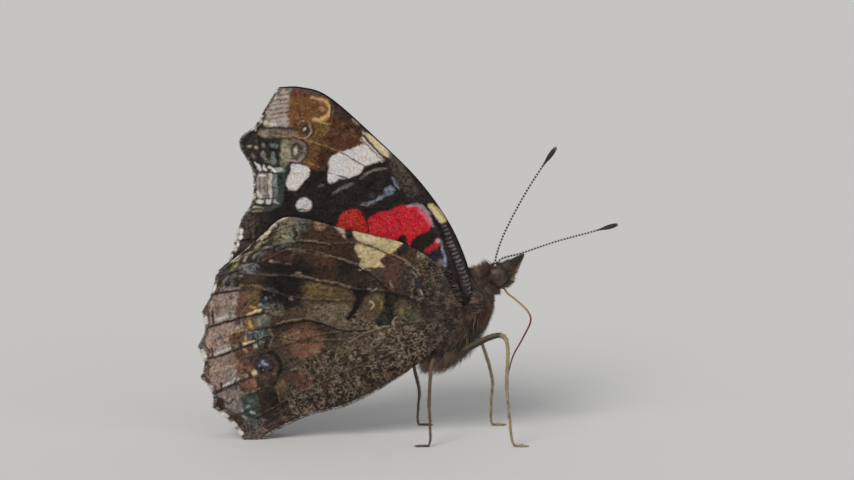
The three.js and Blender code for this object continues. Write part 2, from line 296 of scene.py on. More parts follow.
stations = curve(BODY_STATIONS, SKIN_ROWS)
body_line = np.column_stack([stations[:, 0], np.zeros(SKIN_ROWS), stations[:, 1]])
past_waist = np.cumsum(np.linalg.norm(np.gradient(body_line, axis=0), axis=1)) * (body_line[:, 0] < WAIST)
past_waist = np.where(past_waist > 0, past_waist - past_waist[past_waist > 0].min(), 0)
ring_groove = 0.05 * np.abs(np.sin(np.pi * past_waist / SEGMENT_LENGTH)) ** 0.5 * (past_waist > 0)
turns = np.linspace(0, 1, SKIN_AROUND, endpoint=False)
pores = wander(np.arange(SKIN_ROWS)[:, None] * 0.5, turns[None, :] * 64, 1.0, 3) - 0.5
skin_swell = 1 + ring_groove[:, None] + 0.03 * pores
skin_places, skin_faces, skin_map = tube(body_line, MIDDLE_TO_SIDE, stations[:, 2], stations[:, 3],
                                         SKIN_AROUND, skin_swell)

leather, start = finish_of("dark body skin")
grain = start.noise(9000, 4)
coat_with(leather, grain.blend(screen(30, 24, 20), screen(64, 48, 38)), 0.45 + 0.25 * grain, grain, 0.03)
skin = piece("body_skin", skin_places, skin_faces, leather, baked(skin_map))
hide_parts("head", "thorax", "abdomen")


# Eyes: big domes on the sides of the head, built of thousands of six-sided lenses, mottled brown, with
# short bristles between the lenses.
EYE_X, EYE_Y, EYE_Z, EYE_RADIUS, EYE_FLATNESS = 9.62, 1.12, 18.3, 1.12, 0.72
EYE_ROWS, EYE_AROUND = 50, 72
LENS = 0.045

lens, start = finish_of("mottled compound eye")
place = start.place()
facets = start.node("ShaderNodeTexVoronoi", {"feature": "F1"},
                    {"Vector": place, "Scale": 1 / (LENS * MM), "Randomness": 0.35})
cloud = start.noise(1600, 3)
tone = cloud.between(0.38, 0.62).blend(screen(34, 25, 20), screen(78, 55, 40))
coat_with(lens, tone, 0.28 + 0.2 * cloud, 1 - facets ** 2, 0.012, Specular_IOR_Level=0.45)
turn = np.linspace(0, np.pi, EYE_ROWS)
for side, sign in SIDES:
    out = sign * (EYE_Y - EYE_RADIUS * EYE_FLATNESS * np.cos(turn))
    dome = np.column_stack([EYE_X + 0 * turn, out, EYE_Z + 0 * turn])
    radius = EYE_RADIUS * np.maximum(np.sin(turn), 0.01)
    places, faces, spots = tube(dome, np.array([1.0, 0, 0]), radius, radius, EYE_AROUND)
    eye = piece(f"eye_dome_{side}", places, faces, lens, baked(spots))
    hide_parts(f"eye_{side}")


# Palps: two furred feelers of the mouth. They stand side by side in front of the face, flat against each
# other, and end in a point like a beak.
PALP_LINE = [(10.0, 16.9), (10.6, 17.95), (11.2, 19.05), (12.35, 20.35)]
PALP_Y, PALP_TOGETHER = 0.5, 0.12
PALP_ROWS, PALP_AROUND = 40, 20
palp_lines = {}
hide, start = finish_of("palp skin")
shade = start.noise(7000, 3)
coat_with(hide, shade.blend(screen(44, 38, 26), screen(92, 78, 56)), 0.7, shade, 0.02)
for side, sign in SIDES:
    stops = [(x, sign * PALP_Y * (1 - PALP_TOGETHER * k), z) for k, (x, z) in enumerate(PALP_LINE)]
    line = palp_lines[side] = curve(stops, PALP_ROWS)
    share = np.linspace(0, 1, PALP_ROWS)
    wide = np.interp(share, [0, 0.3, 0.7, 1], [0.2, 0.3, 0.2, 0.03])
    deep = np.interp(share, [0, 0.3, 0.65, 0.9, 1], [0.35, 0.78, 0.62, 0.2, 0.04])
    places, faces, spots = tube(line, MIDDLE_TO_SIDE, wide, deep, PALP_AROUND)
    palp = piece(f"palp_skin_{side}", places, faces, hide, baked(spots))
    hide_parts(f"palp_{side}")


# Antennae: thread-thin stalks of about forty joints, each black with a white ring at its foot, that end in
# a slim black club with a pale tip. The right one is raised and the left one points ahead.
ANTENNAE = {
    "right": [(9.4, -0.55, 19.3), (9.42, -0.58, 20.0), (10.15, -1.4, 22.6), (12.3, -2.85, 27.2),
              (14.3, -4.2, 30.7),
              (15.8, -5.1, 33.0)],
    "left": [(9.5, 0.5, 19.3), (10.1, 0.63, 19.95), (12.2, 1.3, 20.45), (16.15, 2.5, 21.6),
             (20.0, 3.55, 22.5),
             (23.35, 4.5, 23.3)],
}
STALK_RADIUS, CLUB_RADIUS = 0.1, 0.25
JOINTS = 42
STALK_ROWS, STALK_AROUND = 336, 14
stalk, start = finish_of("banded antenna")
spread = start.node("ShaderNodeUVMap", {"uv_map": "spread"})
share = start.node("ShaderNodeSeparateXYZ", {}, {0: spread})
step = (share * JOINTS).maths("FRACT")
ring = step.between(0.1, 0.18) - step.between(0.55, 0.65)
on_club = share.between(0.8, 0.86)
tip = share.between(0.975, 0.99)
white = ring * (1 - on_club) * (0.75 + 0.25 * start.noise(4000))
dark = start.noise(9000).blend(screen(20, 17, 15), screen(46, 38, 32))
tone = tip.blend(white.blend(dark, screen(214, 204, 188)), screen(104, 84, 64))
coat_with(stalk, tone, 0.55, start.noise(14000, 3), 0.012)
for side, stops in ANTENNAE.items():
    line = curve(stops, STALK_ROWS)
    share = np.linspace(0, 1, STALK_ROWS)
    club = rise(0.84, 0.93, share) * (1 - 0.55 * rise(0.95, 1.0, share))
    radius = STALK_RADIUS * (1 + 0.25 * (1 - rise(0, 0.04, share))) + (CLUB_RADIUS - STALK_RADIUS) * club
    radius = radius * (1 + 0.08 * np.abs(np.sin(np.pi * share * JOINTS)))
    radius[-4:] *= (0.9, 0.7, 0.45, 0.15)
    places, faces, spots = tube(line, MIDDLE_TO_SIDE, radius, radius, STALK_AROUND)
    feeler = piece(f"antenna_stalk_{side}", places, faces, stalk, {"spread": spots, **baked(spots)})
    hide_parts(f"antenna_{side}")


# Proboscis: the drinking tube, two half-round channels zipped together, finely ringed like a hose. It
# reaches forward from under the face and bends down at its elbow.
TONGUE = [(10.35, 16.9), (10.8, 16.2), (11.75, 15.45), (13.1, 14.1), (13.4, 13.2), (12.5, 11.1),
          (11.45, 9.1), (10.8, 6.6)]
TONGUE_WIDE, TONGUE_DEEP = 0.16, 0.13
TONGUE_RINGS = 150
TONGUE_ROWS, TONGUE_AROUND = 400, 16
hose, start = finish_of("ringed drinking tube")
spread = start.node("ShaderNodeUVMap", {"uv_map": "spread"})
share = start.node("ShaderNodeSeparateXYZ", {}, {0: spread})
ribs = (share * (TONGUE_RINGS * 2 * math.pi)).maths("SINE")
speck = start.noise(6000)
pale = speck.blend(screen(150, 118, 66), screen(184, 150, 92))
deep_red = speck.blend(screen(74, 24, 10), screen(122, 44, 16))
coat_with(hose, share.between(0.26, 0.42).blend(pale, deep_red), 0.35 + 0.2 * speck, ribs, 0.008)
line = curve([(x, 0, z) for x, z in TONGUE], TONGUE_ROWS)
share = np.linspace(0, 1, TONGUE_ROWS)
radius = np.interp(share, [0, 0.4, 0.97, 1], [1.1, 1.0, 0.7, 0.2])
angle = np.linspace(0, 2 * np.pi, TONGUE_AROUND, endpoint=False)
lobes = 1 - 0.28 * np.abs(np.sin(angle)) ** 6 + 0 * share[:, None]
places, faces, spots = tube(line, MIDDLE_TO_SIDE, TONGUE_WIDE * radius, TONGUE_DEEP * radius,
                            TONGUE_AROUND, lobes)
tongue = piece("drinking_tube", places, faces, hose, {"spread": spots, **baked(spots)})
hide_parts("proboscis")


# Hairs: every tuft of the coat, on body, legs, palps and wing edges, is a thin solid blade of three sides
# that springs from the skin and bends over with the lie of the coat.
BLADE_STOPS = np.array([0.0, 0.4, 0.75])
BLADE_TAPER = np.array([1.0, 0.86, 0.5])
PATCH = 0.003

fur_finish, start = finish_of("scaly hairs")
tint = start.tint()
streak = start.noise(5000, 2)
coat_with(fur_finish, tint, 0.62 + 0.2 * streak, Sheen_Weight=0.15, Specular_IOR_Level=0.35)


def blades(root, lead, bend, length, width, flat=0.6, seed=1):
    """Three-sided blades. The middle line of each is its root plus length times (lead t + bend t squared),
    with t from 0 to 1. Its section is a triangle that tapers to a point, with flat as its depth over
    its width. Gives places, by blade."""
    lead = unit(lead)
    side = unit(np.cross(lead, unit(bend + 0.05 * np.roll(lead, 1, axis=1))))
    up = np.cross(side, lead)
    spin = np.random.default_rng(seed).uniform(-0.5, 0.5, len(root))
    t = BLADE_STOPS[None, :, None]
    line = root[:, None] + length[:, None, None] * (lead[:, None] * t + bend[:, None] * t ** 2)
    angle = spin[:, None] + np.array([np.pi / 2, np.pi * 7 / 6, -np.pi / 6])[None, :]
    half = (width[:, None] * BLADE_TAPER / 2)[:, :, None, None]
    rings = line[:, :, None] + half * (np.cos(angle)[:, None, :, None] * side[:, None, None]
                                       + flat * np.sin(angle)[:, None, :, None] * up[:, None, None])
    tip = root + length[:, None] * (lead + bend)
    return np.concatenate([rings.reshape(len(root), -1, 3), tip[:, None]], axis=1)


def mirrored(blade, sign):
    """Right-hand blades are the left ones mirrored, with corners swapped so that faces still look out."""
    return blade if sign > 0 else (blade * [1, -1, 1])[:, [0, 2, 1, 3, 5, 4, 6, 8, 7, 9]]


def spot_of(row, rows, ring, around):
    """Where a hair's small patch goes on the map: by its row and its ring on the surface it springs from."""
    return np.column_stack([0.01 + 0.975 * row / rows, 0.01 + 0.975 * ring / around])


def blade_piece(name, places, tone, spot):
    """Joins blades into one piece. tone is the colour at each blade's root and at its tip, and spot the
    place of its root on the skin's own map, where the blade takes up a small patch."""
    count = len(places)
    first = np.arange(count)[:, None, None] * 10
    walls = np.array([[0, 3, 4, 1], [1, 4, 5, 2], [2, 5, 3, 0], [3, 6, 7, 4], [4, 7, 8, 5], [5, 8, 6, 3]])
    ends = np.array([[7, 6, 9], [8, 7, 9], [6, 8, 9], [0, 1, 2]])
    share = np.append(np.repeat(BLADE_STOPS, 3), 1.0)
    across = np.array([0, 0.5, 1] * 3 + [0.5])
    colours = tone[0][:, None] * (1 - share)[None, :, None] + tone[1][:, None] * share[None, :, None]
    patch = spot[:, None] + PATCH * np.stack([across, share], axis=-1)[None]
    return piece(name, places.reshape(-1, 3), [(first + walls).reshape(-1, 4), (first + ends).reshape(-1, 3)],
                 fur_finish, {"OFBake": patch.reshape(-1, 2)}, colours.reshape(-1, 3))


# Legs: four walking legs of jointed tubes covered in flat scales. Each has a thigh, a shin with rows of
# short spines and two spurs, and a foot of five joints that ends in two claws, its last stretch on the floor.
LEGS = {
    "midleg_right": [(5.6, -1.0, 9.9), (10.3, -3.6, 11.95), (10.6, -4.9, 6.5), 13.0],
    "midleg_left": [(5.6, 1.0, 9.9), (7.5, 4.5, 10.6), (9.3, 5.1, 5.4), 10.9],
    "hindleg_right": [(3.6, -1.0, 9.3), (2.5, -4.2, 9.3), (2.1, -4.95, 4.7), 0.5],
    "hindleg_left": [(3.6, 1.0, 9.3), (0.4, 4.4, 8.4), (1.0, 5.05, 3.9), 2.5],
}
FOOT_Y, TOE_LENGTH, SOLE = 5.36, 1.5, 0.13
TOES = 5
LEG_ROWS, LEG_AROUND = 260, 18
SPINES = 420
CLAW, SPUR = 0.26, 0.55
SHIN_AND_THIGH = {"mid": (screen(146, 130, 94), screen(88, 79, 62)),
                  "hind": (screen(96, 80, 62), screen(62, 50, 41))}
leg_scale, start = finish_of("straw leg scales")
tint = start.tint()
place = start.place()
flake = start.node("ShaderNodeTexVoronoi", {"feature": "F1"}, {"Vector": place, "Scale": 12000})
shade = start.node("ShaderNodeHueSaturation", {}, {"Value": 0.75 + 0.5 * start.noise(9000, 3), "Color": tint})
coat_with(leg_scale, shade, 0.5 + 0.2 * start.noise(3000), 1 - flake, 0.02, Specular_IOR_Level=0.4)
draw = np.random.default_rng(23)
for name, (hip, knee, ankle, toe) in LEGS.items():
    sign = math.copysign(1, hip[1])
    ahead = math.copysign(1, toe - ankle[0])
    heel = (toe - ahead * TOE_LENGTH, sign * (FOOT_Y - 0.04), SOLE)
    instep = 0.5 * np.add(ankle, heel) - [0.15 * ahead, 0, 0]
    line = curve([hip, knee, ankle, instep, heel, (toe, sign * FOOT_Y, SOLE)], LEG_ROWS)
    line[:, 2] = np.maximum(line[:, 2], SOLE)
    share = np.linspace(0, 1, LEG_ROWS)
    at_knee = share[np.argmin(np.linalg.norm(line - knee, axis=1))]
    at_ankle = share[np.argmin(np.linalg.norm(line - ankle, axis=1))]
    marks = [0, at_knee * 0.3, at_knee * 0.93, at_knee, at_knee + 0.04, at_ankle - 0.03, at_ankle,
             at_ankle + 0.03, 0.97, 1]
    wide = np.interp(share, marks, [0.28, 0.36, 0.27, 0.25, 0.2, 0.19, 0.2, 0.15, 0.13, 0.05])
    toes = np.clip((share - at_ankle) / (1 - at_ankle), 0, 1)
    wide = wide * (1 - 0.14 * (toes > 0) * np.abs(np.cos(np.pi * TOES * toes)) ** 8)
    plane = np.cross(np.subtract(knee, hip), np.subtract(ankle, knee))
    places, faces, spots = tube(line, plane, wide * 0.9, wide, LEG_AROUND)
    places[:, 2] = np.maximum(places[:, 2], 0)
    facing = np.append(np.tile(np.linspace(0, 2 * np.pi, LEG_AROUND, endpoint=False), LEG_ROWS), [0, 0])
    run = np.append(np.repeat(share, LEG_AROUND), [0, 1])
    below = 0.5 - 0.5 * np.sin(facing) * np.sign(plane[1])
    mottle = wander(run * 90, facing * 2, 1.4, 9)[:, None]
    thigh = (1 - rise(at_knee - 0.03, at_knee, run))[:, None]
    under = rise(0.45, 0.7, below)[:, None]
    straw, upper = SHIN_AND_THIGH[name.split("leg")[0]]
    tone = thigh * (under * screen(52, 40, 34) + (1 - under) * upper) + (1 - thigh) * straw
    tone = tone * (0.62 + 0.76 * mottle)
    toe_run = np.append(np.repeat(toes, LEG_AROUND), [0, 1])
    joint = (np.abs(np.cos(np.pi * TOES * toe_run)) ** 10 * (run > at_ankle))[:, None]
    tone = tone * (1 - 0.45 * joint)
    leg = piece(f"leg_{name}", places, faces, leg_scale, baked(spots), tone)
    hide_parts(name)

    # its spines, in rows along shin and foot, two spurs at the ankle and two claws at the toe
    count = SPINES
    mark = np.sort(draw.uniform(0.02, 0.985, count))
    row = np.round(mark * (LEG_ROWS - 1)).astype(int)
    turn = draw.uniform(0, 2 * np.pi, count)
    ring = np.round(turn / (2 * np.pi) * LEG_AROUND).astype(int) % LEG_AROUND
    root = places[row * LEG_AROUND + ring]
    out = unit(root - line[row])
    lower = mark > at_knee
    lead = out * np.where(lower, 0.55, 0.3)[:, None] + along(line)[row]
    length = np.where(lower, draw.uniform(0.16, 0.3, count), draw.uniform(0.3, 0.55, count))
    spine_tone = np.where(lower[:, None], straw * 0.8, screen(84, 70, 56))
    hook = along(line)[-1]
    claw_root = np.array([line[-3] + [0, 0.05 * k, 0.03] for k in (-1, 1)])
    claw_lead = np.array([hook + [0, 0.4 * k, 0.35] for k in (-1, 1)])
    spur_root = line[[int(at_ankle * LEG_ROWS) - 4] * 2]
    spur_lead = along(line)[[int(at_ankle * LEG_ROWS)] * 2] + 0.5 * unit(np.array([plane, -plane]))
    root = np.vstack([root, claw_root, spur_root])
    lead = np.vstack([lead, claw_lead, spur_lead])
    length = np.concatenate([length, [CLAW, CLAW, SPUR, SPUR]])
    width = np.concatenate([np.full(count, 0.035), np.full(4, 0.07)])
    bend = np.zeros_like(lead)
    bend[count:count + 2, 2] = -0.8
    blade = blades(root, lead, bend, length, width, 0.8)
    blade[:, :, 2] = np.maximum(blade[:, :, 2], 0.0)
    tone = np.vstack([spine_tone, np.tile(screen(60, 38, 24), (4, 1))])
    spot = 0.01 + 0.97 * np.column_stack([np.append(mark, [1] * 4), np.append(turn, [0] * 4) / 6.3])
    spines = blade_piece(f"spines_{name}", blade, (tone, tone * 1.2), spot)

# Fore legs: two little brushes without claws, folded up along the breast and no use for walking.
FORELEG = [(7.9, 1.2, 12.2), (8.5, 1.05, 13.7), (9.0, 0.8, 15.4)]
BRUSH_ROWS, BRUSH_AROUND, BRUSH_HAIRS = 60, 14, 2000
for side, sign in SIDES:
    line = curve([(x, sign * y, z) for x, y, z in FORELEG], BRUSH_ROWS)
    share = np.linspace(0, 1, BRUSH_ROWS)
    wide = np.interp(share, [0, 0.2, 0.5, 0.9, 1], [0.12, 0.2, 0.16, 0.12, 0.04])
    places, faces, spots = tube(line, MIDDLE_TO_SIDE, wide, wide, BRUSH_AROUND)
    tone = screen(92, 76, 58) * (0.7 + 0.6 * wander(places[:, 0] * 8, places[:, 2] * 8, 1.0, 8))[:, None]
    leg = piece(f"foreleg_brush_{side}", places, faces, leg_scale, baked(spots), tone)
    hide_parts(f"foreleg_{side}")
    count = BRUSH_HAIRS
    row = draw.integers(0, BRUSH_ROWS, count)
    ring = draw.integers(0, BRUSH_AROUND, count)
    root = places[row * BRUSH_AROUND + ring]
    out = unit(root - line[row])
    lead = 0.9 * out + along(line)[row] + 0.25 * draw.normal(size=(count, 3))
    length = draw.uniform(0.25, 0.6, count)
    blade = blades(root, lead, -0.15 * out, length, np.full(count, 0.045))
    tone = np.array([screen(70, 52, 42), screen(120, 98, 76), screen(90, 66, 50)])[draw.integers(0, 3, count)]
    spot = 0.01 + 0.97 * spots[row * BRUSH_AROUND + ring]
    brush = blade_piece(f"foreleg_hair_{side}", blade, (tone * 0.7, tone * 1.2), spot)


# Forewings: clear stiff membrane held taut by veins, with rows of overlapping flat scales on both faces.
# The colour lies in the scales. The underside of the right one faces the camera; the left one mirrors it.
PAIR_GAP, WING_THICK, GAP, FLARE = 0.3, 0.5, 0.3, 0.7
FLARE_BETWEEN = (8, 32)
SHOULDER_BULGE, SHOULDER_REACH, TRUNK_REACH = 2.25, 4.7, 3.4
FOREWING_LIFT, HINDWING_LIFT = 0.36, 0.14
FOREWING_GRID, HINDWING_GRID = (301, 231), (281, 251)
HINGE = (6.2, 16.4)
TRUNK_RIDGE = [(6.2, 15.6, 1.9), (4.0, 11.6, 1.85), (0.6, 9.9, 1.35), (-8.2, 6.3, 0.9)]
FOREWING_COSTA = [(6.75, 16.6), (6.3, 19.4), (4.4, 23.9), (1.1, 28.6), (-3.3, 33.0), (-8.8, 37.85),
                  (-12.0, 39.0), (-14.6, 38.95)]
FOREWING_EDGE = [(-14.6, 38.95), (-15.9, 36.9), (-17.2, 34.75), (-18.65, 33.6), (-18.65, 32.4),
                 (-17.4, 30.0), (-17.4, 26.7), (-18.6, 24.6), (-19.35, 22.2), (-20.0, 19.6),
                 (-19.2, 17.6)]
FOREWING_HIND = [(5.9, 15.3), (2.0, 16.5), (-7.0, 17.8), (-19.2, 17.6)]
FOREWING_BASE = [(6.75, 16.6), (6.5, 15.7), (5.9, 15.3)]
FRINGE, HEM = 0.3, 0.2
FOREWING_SPAN, HINDWING_SPAN, HINDWING_CHORD = 29, 27, 18
MEMBRANE = 0.12
VEIN_RELIEF, VEIN_WIDTH = 0.06, 0.1


def wing_lean(x, z):
    """How far both pairs lean out from the middle plane, growing with the distance from the hinge."""
    return FLARE * rise(*FLARE_BETWEEN, np.hypot(x - HINGE[0], z - HINGE[1]))


def shoulder_bow(x, z):
    """The bulge round the shoulder: a bell in the distance from the hinge."""
    return SHOULDER_BULGE * np.exp(-(np.hypot(x - HINGE[0], z - HINGE[1]) / SHOULDER_REACH) ** 2)


def trunk_bow(x, z):
    """The hindwing's bulge round the trunk: a bell in the distance from each stretch of its ridge, the
    highest of them at each place."""
    ridge = np.zeros(np.shape(x))
    for (ax, az, low), (bx, bz, high) in zip(TRUNK_RIDGE, TRUNK_RIDGE[1:]):
        dx, dz = bx - ax, bz - az
        t = np.clip(((x - ax) * dx + (z - az) * dz) / (dx ** 2 + dz ** 2), 0, 1)
        away = np.hypot(x - ax - t * dx, z - az - t * dz)
        ridge = np.maximum(ridge, (low + (high - low) * t) * np.exp(-(away / TRUNK_REACH) ** 2))
    return ridge


def forewing_place(x, z):
    """Distance of the forewing solid's inner face from the middle plane."""
    return PAIR_GAP / 2 + wing_lean(x, z) + shoulder_bow(x, z)


def hindwing_place(x, z):
    """Distance of the hindwing solid's inner face from the middle plane."""
    return PAIR_GAP / 2 + WING_THICK + GAP + wing_lean(x, z) + np.maximum(shoulder_bow(x, z), trunk_bow(x, z))


# The markings are laid out on a chart of the right side, drawn as it is seen from a little above: a step is
# 0.11 mm, columns count towards the head and rows count down from the wing tip.
CHART_STEP, CHART_COLUMN, CHART_ROW = 0.11, 410, 443
CHART_SLOPE, CHART_DEPTH = 0.14, 1.2


def on_chart(x, y, z):
    """Columns and rows of places on the right side: the height drops by the slope times the depth."""
    seen = z - (y - CHART_DEPTH) * CHART_SLOPE
    return x / CHART_STEP + CHART_COLUMN, CHART_ROW - seen / CHART_STEP


def smooth_line(stops, closed=False, steps=5):
    """A Catmull-Rom line through the stops in that many steps each, closed in a ring or open. The stops are
    columns and rows by turns."""
    p = np.array(stops, float).reshape(-1, 2)
    p = np.vstack([p[-1], p, p[:2]]) if closed else np.vstack([2 * p[0] - p[1], p, 2 * p[-1] - p[-2]])
    t = np.linspace(0, 1, steps, endpoint=False)[:, None]
    a, b, c, d = p[:-3, None], p[1:-2, None], p[2:-1, None], p[3:, None]
    square, cube = 2 * a - 5 * b + 4 * c - d, 3 * b - a - 3 * c + d
    line = 0.5 * (2 * b + (c - a) * t + square * t ** 2 + cube * t ** 3)
    return np.vstack([line.reshape(-1, 2), p[-2]])


def away_from(x, y, line):
    """Distance to a broken line, and how far along it the nearest point lies, from 0 to 1."""
    best = np.full(x.shape, 1e9)
    share = np.zeros(x.shape)
    for k, ((ax, ay), (bx, by)) in enumerate(zip(line, line[1:])):
        dx, dy = bx - ax, by - ay
        t = np.clip(((x - ax) * dx + (y - ay) * dy) / (dx ** 2 + dy ** 2 + 1e-9), 0, 1)
        away = np.hypot(x - ax - t * dx, y - ay - t * dy)
        share = np.where(away < best, (k + t) / (len(line) - 1), share)
        best = np.minimum(best, away)
    return best, share


def inside(x, y, ring):
    """Even-odd rule: a place is inside when a ray from it crosses the ring an odd number of times."""
    odd = np.zeros(x.shape, bool)
    for (ax, ay), (bx, by) in zip(ring, np.roll(ring, -1, axis=0)):
        if ay != by:
            odd ^= ((ay > y) != (by > y)) & (x < (bx - ax) * (y - ay) / (by - ay) + ax)
    return odd


class Face:
    """One face of a wing: the chart places of its scales and the colour laid on them so far. The places
    are shaken a little, so that no mark has a ruled edge. Stops are columns and rows by turns, and
    colours are as they show on a screen. A mark fades to each side of its border by soft times an EDGE."""

    PATCH_EDGE, LINE_EDGE, SPOT_EDGE = 0.85, 0.8, 0.9

    def __init__(self, column, row, ground):
        shake = [1.6 * (wander(column, row, 4.0, 11 + k) - 0.5) for k in (0, 1)]
        jitter = [1.0 * (wander(column, row, 1.7, 13 + k) - 0.5) for k in (0, 1)]
        self.x = column + shake[0] + jitter[0]
        self.y = row + shake[1] + jitter[1]
        self.colour = np.tile(screen(*ground), (column.size, 1))

    def near(self, line, reach):
        """Numbers of the scales within reach of a line's box."""
        low, high = line.min(0) - reach, line.max(0) + reach
        return np.nonzero((self.x > low[0]) & (self.x < high[0]) & (self.y > low[1]) & (self.y < high[1]))[0]

    def lay(self, scales, cover, colour):
        """Moves those scales' colours towards a new one by their cover, 0 to 1."""
        self.colour[scales] += (screen(*colour) - self.colour[scales]) * cover[:, None]

    def depth_in(self, stops, reach):
        """The scales in and round a smooth closed outline, and how deep in it each lies, negative outside."""
        ring = smooth_line(stops, True)
        scales = self.near(ring, reach)
        away, _ = away_from(self.x[scales], self.y[scales], ring)
        return scales, np.where(inside(self.x[scales], self.y[scales], ring), away, -away)

    def patch(self, stops, colour, soft=2, cover=1.0, ragged=0.0):
        """Fills an outline. ragged is how far noise moves its edge."""
        scales, depth = self.depth_in(stops, 2 * soft + ragged + 1)
        depth = depth + 2 * ragged * (wander(self.x[scales], self.y[scales], 3.0, 21) - 0.5)
        edge = self.PATCH_EDGE * soft
        self.lay(scales, cover * rise(-edge, edge, depth), colour)

    def line(self, stops, colour, width, soft=0.8, cover=1.0, thin=(1.0, 1.0)):
        """Draws a smooth line. thin gives its width at the two ends as shares of the full width."""
        path = smooth_line(stops)
        scales = self.near(path, width + soft + 1)
        away, share = away_from(self.x[scales], self.y[scales], path)
        half = width / 2 * np.interp(share, [0, 0.5, 1], [thin[0], 1.0, thin[1]])
        edge = self.LINE_EDGE * soft
        self.lay(scales, cover * (1 - rise(half - edge, half + edge, away)), colour)

    def spot(self, centre, radius, colour, soft=1.6, cover=1.0, squash=1.0, turn=0.0):
        """Fills an oval. squash is its height over its width, and turn is in degrees."""
        scales = self.near(np.array([centre], float), radius * max(1, squash) + soft + 1)
        c, s = math.cos(math.radians(turn)), math.sin(math.radians(turn))
        dx, dy = self.x[scales] - centre[0], self.y[scales] - centre[1]
        away = np.hypot(c * dx + s * dy, (c * dy - s * dx) / squash)
        edge = self.SPOT_EDGE * soft
        self.lay(scales, cover * (1 - rise(radius - edge, radius + edge, away)), colour)

    def flecks(self, stops, colour, size=2.2, share=0.4, cover=1, soft=6, stretch=1, turn=0, layer=30):
        """Scatters wormy flecks over about that share of an outline: the ridges of a noise of that size,
        drawn out by stretch along the direction turn, in degrees. The outline fades over soft."""
        scales, depth = self.depth_in(stops, soft)
        c, s = math.cos(math.radians(turn)), math.sin(math.radians(turn))
        x, y = self.x[scales], self.y[scales]
        u, v = (c * x + s * y) / stretch, c * y - s * x
        worm = 1 - 2 * np.abs(wander(u, v, size, layer) - 0.5)
        worm = 0.7 * worm + 0.3 * wander(u, v, size * 2, layer + 1) + 0.12
        level = 1 - 0.55 * share
        worm = rise(level - 0.1, level + 0.1, worm)
        self.lay(scales, 0.7 * cover * worm * rise(-soft / 2, soft / 2, depth), colour)

    def weathered(self):
        """The colours with the uneven light and dark that single scales give: three sizes of noise."""
        x, y = self.x, self.y
        value = (0.7 * (wander(x, y, 1.2, 5) - 0.5) + 0.55 * (wander(x, y, 2.4, 6) - 0.5)
                 + 0.5 * (wander(x, y, 7.0, 7) - 0.5))
        value = value - 0.45 * rise(0.52, 0.72, wander(x, y, 1.7, 9)) * (self.colour.max(1) < 0.3)
        value = value * (1 - 0.85 * rise(0.2, 0.5, self.colour.max(1)))
        warmth = 0.16 * (wander(x, y, 4.0, 8) - 0.5)
        return np.clip(self.colour * (1 + value[:, None] + warmth[:, None] * [1, 0, -1]), 0, 1)


BLACK = (31, 26, 22)
BROWN = (112, 76, 45)
UMBER = (62, 50, 41)
CREAM = (196, 176, 138)
STRAW = (178, 156, 118)
LILAC = (146, 132, 124)
SMOKE = (104, 92, 84)
WHITE = (198, 192, 188)
TEAL = (92, 104, 98)
PALE_TEAL = (146, 156, 144)
RED = (176, 28, 38)
SCARLET = (160, 42, 34)


